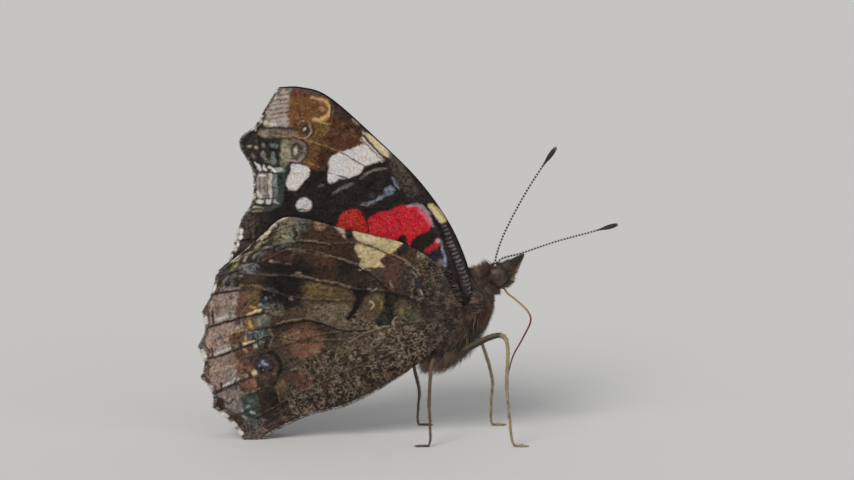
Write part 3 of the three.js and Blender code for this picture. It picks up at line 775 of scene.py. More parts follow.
def paint_forewing(w):
    """The forewing's underside, as seen with the tip up at the left."""
    # the square tip: warm brown, lilac-grey towards the outer edge, dark along the costa
    w.patch([286, 82, 302, 81.5, 324, 90, 338, 103, 352, 113, 366, 128, 373, 137, 362, 144, 350, 149,
            338, 152, 330, 154, 327, 164, 321, 169, 308, 166, 299, 160, 286, 138, 284, 112], BROWN, 3,
            ragged=1)
    w.patch([331, 98, 344, 104, 360, 118, 373, 137, 366, 141, 350, 128, 338, 120, 331, 110], (58, 46, 38),
            4)
    w.patch([330, 118, 344, 121, 356, 128, 366, 138, 352, 149, 338, 152, 330, 144, 320, 140, 318, 128],
            (84, 52, 36), 6)
    w.patch([313, 121, 326, 120, 331, 128, 326, 136, 314, 139, 312, 130], (108, 84, 46), 3)
    w.patch([308, 144, 316, 142, 322, 150, 322, 166, 314, 168, 306, 160], (104, 72, 46), 3)
    w.patch([322, 148, 340, 152, 330, 156, 327, 166, 318, 170, 318, 158], (58, 38, 30), 5)
    for place, radius in (((337, 131), 3.5), ((346, 136), 3.5), ((353, 129), 2.5), ((343, 124), 2),
            ((356, 137), 2)):
        w.spot(place, radius, (112, 80, 58), 3, cover=0.7)
    w.flecks([318, 118, 345, 118, 362, 134, 350, 149, 330, 150, 312, 140], (60, 38, 28), 3, 0.35, 0.6,
             layer=40)
    w.patch([290, 90, 302, 91, 316, 95, 316, 98, 300, 97, 290, 97], (92, 48, 34), 4, cover=0.85)
    w.patch([290, 87, 312, 90, 322, 94, 318, 97, 300, 91, 289, 90], (84, 66, 58))
    w.patch([273, 83, 291, 82, 291, 98, 287, 110, 288, 127, 268, 127, 266, 112, 270, 100], (146, 131, 121),
            3)
    for row in range(8):
        height = 93 + 4.4 * row
        w.line([272, height + 1.5, 280, height, 289, height - 1], (178, 166, 157), 1.6, 1.4, cover=0.6)
        w.line([271, height + 3.6, 280, height + 2.2, 290, height + 1.4], (112, 94, 86), 1, 1.4, cover=0.6)
    w.patch([281, 118, 288, 118, 288, 127, 279, 126], (170, 156, 148), 4, cover=0.6)
    w.spot((274, 124), 3.6, WHITE, squash=0.42, turn=8)
    w.patch([275, 86, 284, 85, 281, 93, 277, 96], (106, 88, 86))
    for place, tone in (((275, 95.5), WHITE), ((269, 104), WHITE), ((272, 101), SMOKE), ((267, 109), LILAC),
            ((266, 116), (70, 54, 60)), ((262, 121.5), WHITE), ((267, 122.5), CREAM),
            ((263, 116), (84, 70, 70)), ((259, 124), STRAW), ((279, 90), SMOKE)):
        w.spot(place, 2.4, tone, squash=0.75, turn=-55)
    w.line([261, 119, 258, 124, 257, 130], (196, 186, 174), 1.4)
    # the hook of cream round a brown eye near the costa
    w.line([313, 97, 321, 99, 328, 102, 331, 108, 329, 115, 322, 119, 315, 119], (196, 156, 112), 4.2, 2.2,
           thin=(0.4, 0.8))
    w.spot((324, 108), 3.6, (126, 84, 52), turn=30)
    w.spot((323, 108), 2, (160, 120, 86))
    w.line([331, 100, 332.5, 108, 331, 118], (60, 46, 34), 1.6)
    w.line([315, 121, 323, 122, 332, 124], (172, 132, 82), 1.5, thin=(0.6, 0.3))
    w.line([290, 109, 302, 111, 314, 113], (84, 56, 36), 1.2, cover=0.8, thin=(0.2, 0.5))
    w.line([288, 128, 300, 126, 310, 121, 314, 114], (96, 66, 42), 1.2, cover=0.6)
    # the first eye mark, under the hook
    w.spot((304, 130), 9.5, (98, 66, 42), 2)
    w.line([312, 121, 314.5, 127, 314, 133, 310, 138, 304, 140], (54, 38, 30), 1.8, thin=(0.3, 0.3))
    w.line([309, 121, 312, 127, 311, 133, 307, 137, 302, 137.5], (150, 136, 130), 1.7, thin=(0.3, 0.4))
    w.spot((306, 129), 4.6, (62, 46, 38))
    w.spot((305, 128.6), 2.3, (206, 196, 188), 1.2, squash=0.55, turn=-55)
    w.line([299, 124, 302, 121, 306, 120], (150, 122, 98), 1.3)
    # the veins that part the tip from the black ground
    w.patch([262, 129, 292, 129, 300, 136, 286, 138, 263, 137], (116, 98, 84), 1.6)
    w.line([262, 128, 276, 127.5, 292, 128.5, 306, 130], (56, 40, 46), 1.9, thin=(0.8, 0.2))
    w.line([270, 135, 285, 136, 300, 137, 308, 139.5], (138, 112, 80), 1.6, thin=(0.6, 0.5))
    w.patch([264, 130, 269, 130, 269, 136, 264, 136], (146, 134, 120), 1.5)
    for column in (270.5, 276, 282):
        w.line([column, 129, column + 0.5, 136], (64, 52, 46), 1, cover=0.7)
    # the black knob on the outer edge and the grey-green field behind it
    w.patch([236, 142, 244, 135, 256, 133, 266, 138, 288, 138, 286, 150, 280, 164, 282, 174, 268, 172,
            258, 165, 246, 158, 238, 150], (44, 42, 36))
    w.patch([282, 140, 290, 139, 292, 150, 290, 162, 284, 168, 280, 160, 284, 150], (104, 98, 80), 2.5)
    for place, radius, tone, squash, turn in (((251, 146), 2, (164, 152, 132), 0.7, 10),
            ((257, 146.5), 2, (164, 152, 132), 0.8, 80), ((264.5, 145), 2.4, (110, 104, 92), 0.8, 90),
            ((275, 145), 4.4, TEAL, 0.6, 10), ((274, 155), 4.2, (106, 116, 110), 0.6, 75),
            ((254, 155), 3.6, (98, 92, 96), 0.5, 70), ((264, 154), 4, (112, 106, 100), 0.6, 70),
            ((268, 160), 3.2, (128, 122, 112), 0.6, 20), ((284, 155), 3.4, (138, 130, 110), 0.8, 40),
            ((258, 141), 2, (84, 70, 62), 0.6, 20), ((258, 158), 3, (58, 48, 60), 0.5, 60)):
        w.spot(place, radius, tone, squash=squash, turn=turn)
    w.line([260, 141, 261, 150, 258, 158, 263, 165], BLACK, 1.4)
    w.line([270, 148, 277, 150, 279, 158], BLACK, 1.6)
    w.line([268, 158, 272, 163, 280, 166], BLACK, 1.2)
    # the second, larger eye mark
    w.spot((297, 150), 12.4, (52, 42, 34), squash=1.05)
    w.spot((296, 150), 11, (126, 112, 106), 1.4, squash=1.06)
    w.spot((294, 150), 9.6, (98, 88, 70), squash=1.08)
    w.patch([283, 143, 290, 141, 292, 150, 291, 159, 284, 160], (134, 128, 104), 2.5)
    w.spot((295.5, 142.5), 3.2, (146, 104, 98), 2)
    w.spot((297, 149), 6.2, (70, 60, 50), squash=1.1)
    w.spot((296.4, 150), 1.9, (178, 168, 154), 1.4, squash=2)
    w.spot((301, 153), 2, (110, 100, 92), 1.4, squash=1.6)
    w.line([290, 160, 297, 161, 303, 158], (150, 134, 128), 1.6)
    # the thin pale vein from the eye marks back to the costa
    w.line([306, 140, 314, 141.4, 322, 144, 334, 149, 346, 154], (146, 112, 74), 1.4, thin=(0.9, 0.3))
    w.line([304, 161, 312, 163.5, 320, 167], (150, 116, 84), 1.3, thin=(0.8, 0.2))
    # the outer border below the knob: pale blocks between dark lines
    w.patch([258, 168, 270, 171, 280, 168, 283, 182, 281, 204, 264, 212, 246, 216, 248, 206, 252, 198,
            252, 184], (70, 68, 62))
    w.patch([259, 174, 270, 173, 272, 186, 271, 197, 258, 198, 256, 186], (146, 134, 126))
    w.patch([270, 173, 273, 173, 272.5, 197, 269.5, 198], (180, 172, 160), 1.5)
    w.line([275.5, 174, 276, 188, 275, 200], (112, 120, 112), 3.4, 1.8)
    w.line([280.5, 172, 281.5, 188, 280, 204], (50, 58, 52), 3, 2.5)
    for column, tone in ((263, (170, 158, 150)), (266, (104, 92, 88)), (268.4, (70, 60, 58)),
            (273.4, (74, 74, 68)), (260.6, (112, 100, 96))):
        w.line([column, 173, column - 0.6, 186, column + 0.4, 198], tone, 1, 0.9, cover=0.85)
    w.spot((275, 181), 2.2, (140, 146, 136), squash=1.8)
    w.spot((281, 169.5), 5.4, PALE_TEAL, 2, squash=0.42, turn=12)
    w.spot((274, 161), 3.4, (112, 118, 110), 2)
    w.line([256, 162, 259, 166, 261.5, 170], WHITE, 3, 1.2, thin=(0.5, 1))
    w.line([264.5, 166, 266, 170], (212, 204, 192), 2.4, 1.2)
    w.line([269.5, 166.5, 273, 168.5, 276, 171], (222, 216, 206), 2.4, 1.2)
    w.line([259, 171.8, 268, 171.4, 277, 173], (44, 38, 36), 1.5)
    w.line([260, 175, 266, 174.6], (212, 204, 196), 1.8)
    w.line([256, 187.6, 268, 186.8, 277, 187], (84, 76, 72), 1, cover=0.7)
    w.line([253.5, 183, 253, 189, 252, 193], (78, 62, 68), 4.2, 1.6)
    w.line([253.6, 191, 253.4, 199], (176, 164, 164), 3, 1.6)
    w.line([258, 192, 261, 196], (206, 196, 184), 2.4, 1.4)
    w.spot((260, 201), 3.6, WHITE, 1.4, squash=0.62)
    w.spot((268.6, 201.6), 2.4, WHITE, 1.2, squash=1.2)
    w.spot((276, 201.6), 2.6, (160, 164, 156), squash=0.5, turn=20)
    w.line([254, 197.6, 263, 198, 274, 198], (60, 50, 44), 1)
    w.line([252, 204.4, 262, 204.4, 274, 205], (36, 30, 26), 1.5)
    for height, tone in ((206.8, CREAM), (208.8, SMOKE), (211, STRAW), (213.4, SMOKE), (215.4, STRAW)):
        w.line([250, height, 257, height - 0.2, 263, height + 0.6], tone, 1.3, 1, cover=0.85, thin=(1, 0.4))
    # the lower corner: soot brown with faint upright lines and a white-spotted fringe
    w.patch([236, 216, 262, 212, 272, 222, 262, 236, 248, 250, 232, 268, 226, 262, 234, 240], (46, 38, 34))
    w.line([253, 222, 253.4, 229, 253, 238], (104, 94, 74), 1.7, cover=0.9)
    w.line([247.4, 222, 247, 230, 246.4, 238], (84, 70, 66), 1.3, cover=0.9)
    w.flecks([240, 218, 256, 218, 256, 240, 238, 254, 234, 246], (92, 78, 72), 2, 0.35, 0.8, layer=42)
    w.line([236, 239.6, 248, 239.6, 258, 238], (30, 25, 22), 1.6)
    w.line([249, 245, 254, 242, 259, 239], (124, 110, 92), 1.4)
    for place, squash in (((240.6, 231), 1.3), ((240.4, 237), 1), ((237, 243.6), 1.4), ((234.6, 249), 1.2)):
        w.spot(place, 2.2, (226, 220, 214), 1.2, squash=squash)
    w.line([250, 214, 243, 219, 239, 227], (70, 62, 62), 3, 1.6)
    # the white bar that crosses from the costa, cut by fine brown veins
    w.patch([362, 144, 372, 147, 383, 158, 376, 162, 366, 166, 359, 173, 350, 178, 341, 178, 331, 183,
            328, 179, 329, 170, 329, 160, 335, 154, 345, 150, 353, 148], WHITE, 1.5, ragged=0.6)
    w.line([362, 138, 372, 149, 382, 160], (208, 198, 186), 3.2, 1.4)
    w.line([369, 136, 378, 147, 386, 155], CREAM, 5, 2)
    w.patch([363, 132, 371, 135, 389, 150, 384, 160, 378, 150], (188, 170, 136))
    w.line([360, 136.5, 371, 148, 383, 161], (70, 56, 50), 1.1)
    w.line([363, 135, 374, 146, 386, 158], (96, 80, 70), 1)
    w.line([341, 151.6, 352, 158, 366, 166.5], (84, 62, 54), 1.2)
    w.line([329, 172, 338, 174.6, 348, 178], (104, 84, 78), 1.2)
    w.line([352, 149, 362, 156, 373, 163], (188, 172, 160), 1, cover=0.8)
    w.line([334, 160, 344, 165, 356, 172], (196, 184, 172), 1, cover=0.7)
    w.patch([329, 173, 338, 175, 336, 181, 330, 182], (206, 202, 204), cover=0.8)
    # the two round white marks in the black field
    w.patch([294, 163.4, 301, 164, 309, 167, 310, 172, 307, 178, 301, 185, 296, 189.4, 290, 189.4,
            286.6, 184, 288, 177, 291, 172, 291.6, 166], WHITE, 1.5, ragged=0.5)
    w.line([292, 172, 299, 173.4, 308, 176], (186, 178, 168), 1.2)
    w.spot((304, 204.5), 7.6, WHITE, 1.5, squash=0.94)
    w.line([297, 208.4, 304, 209.4, 311, 208.6], (112, 106, 98), 1.2)
    w.patch([284, 170, 289, 168, 287, 178, 284, 190, 280, 196, 280, 180], (54, 60, 54), 4)
    # thin grey-blue bows inside the black
    for stops, tone, width in (([333, 193, 338, 190, 346, 186, 353, 183], (112, 108, 104), 3),
            ([360, 178, 366, 174, 370, 171], (126, 120, 112), 2.6),
            ([371, 170.6, 378, 169, 386, 167.6], (120, 114, 108), 2),
            ([318, 186, 324, 184.6], (88, 84, 80), 1.8),
            ([361, 204, 368, 203, 375, 201.6], (116, 118, 126), 3.2),
            ([374, 201, 380, 197.6, 386, 194], (122, 126, 138), 3.4),
            ([393, 178, 396, 183, 399, 188], (120, 124, 138), 4.2)):
        w.line(stops, tone, width, 1.8, thin=(0.6, 0.7))
    w.spot((389.5, 190), 5.4, (126, 132, 148), 2.2, squash=0.8, turn=-30)
    w.line([392, 183, 396, 188, 400, 191], BLACK, 1.2)
    w.spot((372, 195), 2.4, (60, 56, 62), 2)
    w.flecks([300, 186, 400, 170, 420, 200, 360, 208, 300, 215], (52, 44, 40), 3, 0.25, 0.6, layer=44)
    # the costa: dark slate, with cream at two places and fine pale cross-bars towards the hinge
    w.patch([352, 113, 388, 150, 440, 214, 470, 285, 462, 292, 440, 240, 412, 205, 385, 162, 370, 137],
            (48, 39, 37), 3)
    w.spot((356, 121), 4.6, (126, 120, 98), 3, squash=0.5, turn=45)
    w.patch([367, 133, 376, 138, 390, 150, 389, 157, 382, 153, 372, 143], (200, 182, 146), 1.8)
    w.line([364, 135, 374, 146, 385, 158], (66, 54, 48), 1.3)
    w.line([389, 152, 398, 162, 404, 172], (84, 78, 66), 3, 2.2, cover=0.8)
    w.flecks([388, 155, 400, 160, 418, 190, 408, 196, 392, 170], (96, 88, 72), 2.4, cover=0.7, soft=3,
             layer=46)
    w.patch([427, 206, 434, 204, 446, 219, 441, 223, 436, 218], (198, 178, 136), 1.8)
    w.line([433, 205, 440, 212, 446, 220], (160, 136, 92), 1.6)
    w.line([427, 206, 433, 214, 438, 222], (222, 206, 176), 1.8)
    w.line([424, 203, 431, 213, 438, 224, 444, 238, 452, 256, 461, 291], (28, 22, 22), 3.4, 1.6)
    for bar in range(18):
        t = bar / 17
        column, row = (444 + 27 * t + 3 * t * (1 - t), 226 + 66 * t)
        w.line([column - 4, row + 1.2, column, row, column + 1.8, row - 0.9], (118, 110, 112), 1.3, 1,
               cover=0.85, thin=(0.4, 1))
    # the two lobes of the red band, a vein between them, and the notches below
    w.patch([338, 229, 338, 221, 341, 214, 347, 210, 354, 208.6, 361, 211, 365, 217, 368, 229, 366, 236,
            350, 234], SCARLET, 1.8, ragged=0.5)
    w.patch([368, 219, 376, 213, 388, 210, 396, 206, 404, 204.6, 413, 205, 421, 209, 428, 217, 432, 224,
            429, 230, 421, 234, 413, 239, 409, 246, 405, 240, 401, 236, 396, 240, 380, 238, 369, 234], RED,
            1.6, ragged=0.4)
    w.patch([338, 229, 352, 226, 368, 229, 368, 240, 338, 238], (150, 34, 32), 4, cover=0.6)
    w.line([361, 212, 366.5, 220, 368.5, 232], (58, 22, 22), 1.7)
    w.line([389, 212, 398, 221, 404, 234], (130, 20, 32), 1.4, 1.2, cover=0.6)
    w.line([376, 216, 384, 224, 390, 236], (140, 22, 34), 1.2, 1.2, cover=0.45)
    w.line([400, 207, 410, 216, 418, 232], (190, 44, 54), 1.6, 1.6, cover=0.6)
    w.line([407, 205.6, 417, 205, 424, 209, 430, 218, 433, 226], (196, 150, 164), 3, 2.2, cover=0.8,
           thin=(0.4, 0.4))
    w.line([419, 209, 425, 216, 430, 224], (206, 120, 134), 3, 3, cover=0.6)
    w.line([412, 203.6, 419, 203.6, 426, 208.6, 431, 215], (128, 112, 116), 1.8, 1.2)
    w.patch([399, 236, 406, 236, 405, 242, 398, 241], (40, 20, 18), 1.6)
    w.patch([424, 251, 430, 246, 436, 241, 440, 240, 439, 246, 435, 252, 429, 254], (150, 34, 38), 1.6)
    w.spot((438, 240.6), 2.2, (176, 140, 146))
    w.patch([430, 252, 440, 250, 444, 262, 438, 266, 430, 260], (40, 34, 48), 3)
    w.line([441, 240, 442.6, 250, 445, 258, 445, 266], (122, 124, 142), 2.6, 1.6, thin=(0.3, 1))
    w.spot((441, 263), 3.4, (112, 106, 116), 2.4)
    w.line([432, 216, 440, 228, 444, 238], (24, 20, 20), 4, 2)


def at_shares(line, shares):
    """The places at those shares of a line's own steps."""
    every = np.linspace(0, 1, len(line))
    return np.stack([np.interp(shares, every, line[:, k]) for k in (0, 1)], axis=-1)


def wing_sheet(front, outer, hind, base, columns, rows, inset):
    """A Coons patch between four lines, as x and z: its place is the blend of front and hind lines plus
    the blend of base and outer lines, less the blend of the four corners. inset leaves room for the
    fringe at the outer and the hind side, as shares of the whole."""
    u = np.linspace(0, 1 - inset[0], columns)
    v = np.linspace(0, 1 - inset[1], rows)
    a, b = at_shares(front, u)[:, None], at_shares(hind, u)[:, None]
    c, d = at_shares(base, v)[None], at_shares(outer, v)[None]
    u, v = u[:, None, None], v[None, :, None]
    corners = (1 - u) * ((1 - v) * front[0] + v * hind[0]) + u * ((1 - v) * front[-1] + v * hind[-1])
    return (1 - v) * a + v * b + (1 - u) * c + u * d - corners


def rim_numbers(columns, rows):
    """Vertex numbers round the edge of a grid, in one loop."""
    grid = np.arange(columns * rows).reshape(columns, rows)
    return np.concatenate([grid[:-1, 0], grid[-1, :-1], grid[:0:-1, -1], grid[0, :0:-1]])


def sheet_faces(columns, rows):
    """Faces of a double sheet. The outer grid has columns by rows, and the inner one, numbered after it,
    has every second of each. A strip with two outer steps to each inner one joins their rims."""
    outer = np.arange(columns * rows).reshape(columns, rows)
    outer_quads = np.stack([outer[:-1, :-1], outer[1:, :-1], outer[1:, 1:], outer[:-1, 1:]], axis=-1)
    few = ((columns + 1) // 2, (rows + 1) // 2)
    inner = columns * rows + np.arange(few[0] * few[1]).reshape(few)
    inner_quads = np.stack([inner[:-1, :-1], inner[:-1, 1:], inner[1:, 1:], inner[1:, :-1]], axis=-1)
    a = rim_numbers(columns, rows)
    b = columns * rows + rim_numbers(*few)
    a0, a1, a2 = a[0::2], a[1::2], np.roll(a, -2)[0::2]
    b0, b1 = b, np.roll(b, -1)
    rim = np.vstack([np.stack([a0, b0, a1], -1), np.stack([a1, b0, b1], -1), np.stack([a1, b1, a2], -1)])
    return [outer_quads.reshape(-1, 4), inner_quads.reshape(-1, 4), rim]


def vein_relief(column, row, veins):
    """Height over a wing face in shares of the relief: a ridge on each vein and a slight swell between."""
    away = np.full(column.shape, 1e9)
    for stops in veins:
        away = np.minimum(away, away_from(column, row, curve(stops, 4 * len(stops), 0.0))[0])
    away = away * CHART_STEP
    return np.exp(-(away / VEIN_WIDTH) ** 2) + 0.4 * (1 - np.exp(-(away / 0.9) ** 2))


def build_wing(name, node, sheet, place, lifts, veins, under, upper, ground):
    """Both wings of a pair from one sheet. lifts is how far the membrane's middle lies out from the solid's
    inner face. under and upper lay the markings on the outer and on the inner face."""
    columns, rows = sheet.shape[:2]
    fine = sheet.reshape(-1, 2)
    coarse = sheet[::2, ::2].reshape(-1, 2)
    ends = np.minimum(np.minimum.outer(np.arange(columns), np.arange(rows)),
                      np.minimum.outer(columns - 1 - np.arange(columns), rows - 1 - np.arange(rows)))
    plump = rise(-1.5, 5, ends.astype(float))
    middle = place(fine[:, 0], fine[:, 1]) + lifts
    column, row = on_chart(fine[:, 0], middle, fine[:, 1])
    relief = vein_relief(column, row, veins) * VEIN_RELIEF
    outer = middle + plump.ravel() * (MEMBRANE / 2 + relief)
    dented = MEMBRANE / 2 - 0.7 * relief.reshape(columns, rows)[::2, ::2].ravel()
    inner = place(coarse[:, 0], coarse[:, 1]) + lifts - plump[::2, ::2].ravel() * dented
    face = Face(column, row, ground)
    under(face)
    back = Face(*on_chart(coarse[:, 0], inner, coarse[:, 1]), ground)
    upper(back)
    tone = np.vstack([face.weathered(), back.weathered()])
    flat = np.vstack([fine, coarse])
    reach = np.hypot(flat[:, 0] - HINGE[0], flat[:, 1] - HINGE[1])
    bearing = np.arctan2(flat[:, 1] - HINGE[1], HINGE[0] - flat[:, 0])
    scales = np.column_stack([reach, bearing * 14])
    low, high = flat.min(0), flat.max(0)
    spread = (flat - low) / (high - low)
    on_outer, on_inner = spread[:len(fine)], spread[len(fine):]
    spread = np.vstack([on_outer * [0.66, 0.98] + 0.01, on_inner * [0.3, 0.98] + [0.69, 0.01]])
    faces = sheet_faces(columns, rows)
    for side, sign in SIDES:
        places = np.column_stack([flat[:, 0], sign * np.concatenate([outer, inner]), flat[:, 1]])
        turned = faces if sign < 0 else [f[:, ::-1] for f in faces]
        maps = {"scales": scales, "OFBake": spread}
        wing = piece(f"{name}_{side}", places, turned, wing_finish, maps, tone)
        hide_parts(f"{node}_{side}")


# Scales: laid like roof tiles in rows across the wing. Each is one colour, a little lighter or darker
# than its neighbours, and its free edge stands up.
SCALE_LENGTH, SCALE_WIDTH = 0.17, 0.085
wing_finish, start = finish_of("wing scales")
tint = start.tint()
spread = start.node("ShaderNodeUVMap", {"uv_map": "scales"})
per_scale = (1 / SCALE_LENGTH, 1 / SCALE_WIDTH, 1)
tiled = start.node("ShaderNodeMapping", {}, {"Vector": spread, "Scale": per_scale})
cells = ("ShaderNodeTexVoronoi", {"voronoi_dimensions": "2D"},
         {"Vector": tiled, "Scale": 1.0, "Randomness": 0.7})
tile, edge = start.node(*cells, output=1), start.node(*cells)
chance = start.node("ShaderNodeSeparateColor", {}, {0: tile})
second = start.node("ShaderNodeSeparateColor", {}, {0: tile}, output=1)
lit = start.node("ShaderNodeHueSaturation", {},
                 {"Value": 0.8 + 0.4 * chance, "Saturation": 0.9 + 0.2 * second, "Color": tint})
coat_with(wing_finish, lit, 0.6 + 0.3 * second, 0.6 * chance - edge ** 2, 0.005, Specular_IOR_Level=0.14)

FOREWING_VEINS = [
    [(463, 291), (450, 252), (436, 216), (414, 178), (390, 150)],
    [(463, 291), (444, 246), (424, 208), (402, 178), (382, 160), (360, 137), (330, 112), (300, 96)],
    [(402, 178), (366, 166), (342, 152), (322, 144), (306, 140), (270, 135)],
    [(366, 166), (330, 150), (310, 140), (262, 128)],
    [(400, 190), (372, 188), (348, 178), (329, 172), (292, 172), (262, 171)],
    [(398, 200), (380, 200), (340, 204), (300, 188), (256, 187)],
    [(404, 214), (380, 207), (340, 212), (300, 209), (254, 204)],
    [(463, 291), (430, 262), (404, 234), (384, 222), (368, 222), (340, 228), (300, 224), (244, 219)],
    [(368, 222), (366, 210), (380, 204)],
    [(430, 262), (380, 248), (320, 240), (240, 240)],
    [(463, 291), (420, 276), (340, 262), (232, 256)]]


def paint_forewing_upper(w):
    """The forewing's upper side: velvet black, browner towards the hinge, with a red band across the middle,
    a white bar on the costa and a curve of white spots before the tip."""
    w.patch([470, 300, 440, 230, 400, 190, 370, 230, 380, 290], (58, 44, 34), 40)
    w.patch([392, 186, 404, 200, 396, 226, 372, 250, 330, 268, 296, 276, 284, 268, 310, 250, 350, 226,
            374, 200], (198, 62, 26), 3, ragged=1.5)
    w.patch([362, 144, 383, 158, 359, 173, 331, 183, 329, 160, 345, 150], WHITE, ragged=0.8)
    w.patch([294, 163, 309, 167, 301, 185, 287, 184], WHITE)
    w.spot((304, 205), 6, WHITE, 2)
    w.spot((306, 132), 3.5, WHITE, 2)
    w.spot((292, 148), 3, WHITE, 2)
    w.line([272, 118, 262, 150, 264, 180, 256, 210, 244, 240], (92, 84, 80), 1.6, cover=0.7)


def paint_hindwing_upper(w):
    """The hindwing's upper side: velvet brown with a red border that holds a row of black dots, and a
    small blue mark at the lower corner."""
    w.patch([470, 300, 440, 240, 380, 250, 350, 330, 400, 380], (66, 50, 38), 40)
    w.line([236, 286, 222, 312, 218, 344, 222, 374, 240, 404], (196, 64, 28), 17, 2.5, thin=(0.6, 0.8))
    for place in ((231, 300), (222, 322), (219, 345), (222, 368), (232, 390)):
        w.spot(place, 3.6, BLACK)
    w.patch([246, 414, 258, 412, 262, 424, 250, 428], (44, 62, 128), 3)
    w.line([214, 290, 204, 330, 206, 370, 226, 410, 250, 430], (34, 28, 24), 2.4)


def edge_line(stops, count=400):
    """A wing's edge through its stops, the end stops doubled so that it turns sharply into the next edge."""
    return curve(stops, count, 0.0, False)


forewing_sheet = wing_sheet(edge_line(FOREWING_COSTA), edge_line(FOREWING_EDGE), edge_line(FOREWING_HIND),
                            edge_line(FOREWING_BASE, 60), *FOREWING_GRID, (FRINGE / FOREWING_SPAN, 0.0))
build_wing("forewing_sheet", "forewing", forewing_sheet, forewing_place, FOREWING_LIFT, FOREWING_VEINS,
           paint_forewing, paint_forewing_upper, BLACK)


# Hindwings: fan-shaped sheets outside the forewings, with a scalloped outer edge. Their inner edge lies
# along the abdomen and their tips stand on the floor.
HINDWING_COSTA = [(4.95, 16.4), (3.9, 18.6), (2.6, 20.1), (-1.1, 22.1), (-7.1, 23.55), (-12.1, 24.85),
                  (-14.4, 24.6), (-16.3, 22.7)]
HINDWING_TIPS = [(-16.3, 22.7), (-21.35, 18.5), (-22.95, 14.4), (-23.45, 10.5), (-23.2, 7.0),
                 (-21.85, 3.7), (-18.4, 0.0)]
HINDWING_DIPS = [0.0, 0.3, 0.6, 0.6, 0.6, 0.3]
HINDWING_INNER = [(-0.2, 7.9), (-3.3, 5.9), (-7.0, 4.0), (-10.9, 2.9), (-14.2, 1.4), (-16.6, 0.0)]
HINDWING_BASE = [(4.95, 16.4), (4.4, 13.0), (2.4, 9.9), (-0.2, 7.9)]
HINDWING_VEINS = [
    [(455, 295), (440, 268), (420, 247), (404, 241), (360, 230), (300, 224), (262, 238)],
    [(455, 300), (424, 288), (405, 262), (392, 256), (366, 245), (330, 244), (296, 242), (250, 254),
     (228, 262)],
    [(455, 300), (430, 300), (396, 296), (370, 274), (350, 265), (320, 254), (290, 250), (262, 262),
     (216, 277)],
    [(396, 296), (384, 292), (352, 290), (320, 283), (290, 277), (240, 274)],
    [(352, 302), (318, 301), (290, 298), (262, 291), (240, 291), (208, 296)],
    [(455, 312), (420, 322), (366, 331), (340, 331), (320, 324), (306, 321), (292, 323), (262, 314),
     (234, 321),
     (204, 330)],
    [(366, 331), (322, 336), (300, 342), (268, 338), (241, 349), (203, 362)],
    [(455, 318), (390, 329), (356, 340), (318, 343), (290, 345), (255, 357), (240, 362), (232, 387),
     (213, 396)],
    [(455, 326), (400, 352), (350, 372), (300, 396), (250, 424)]]


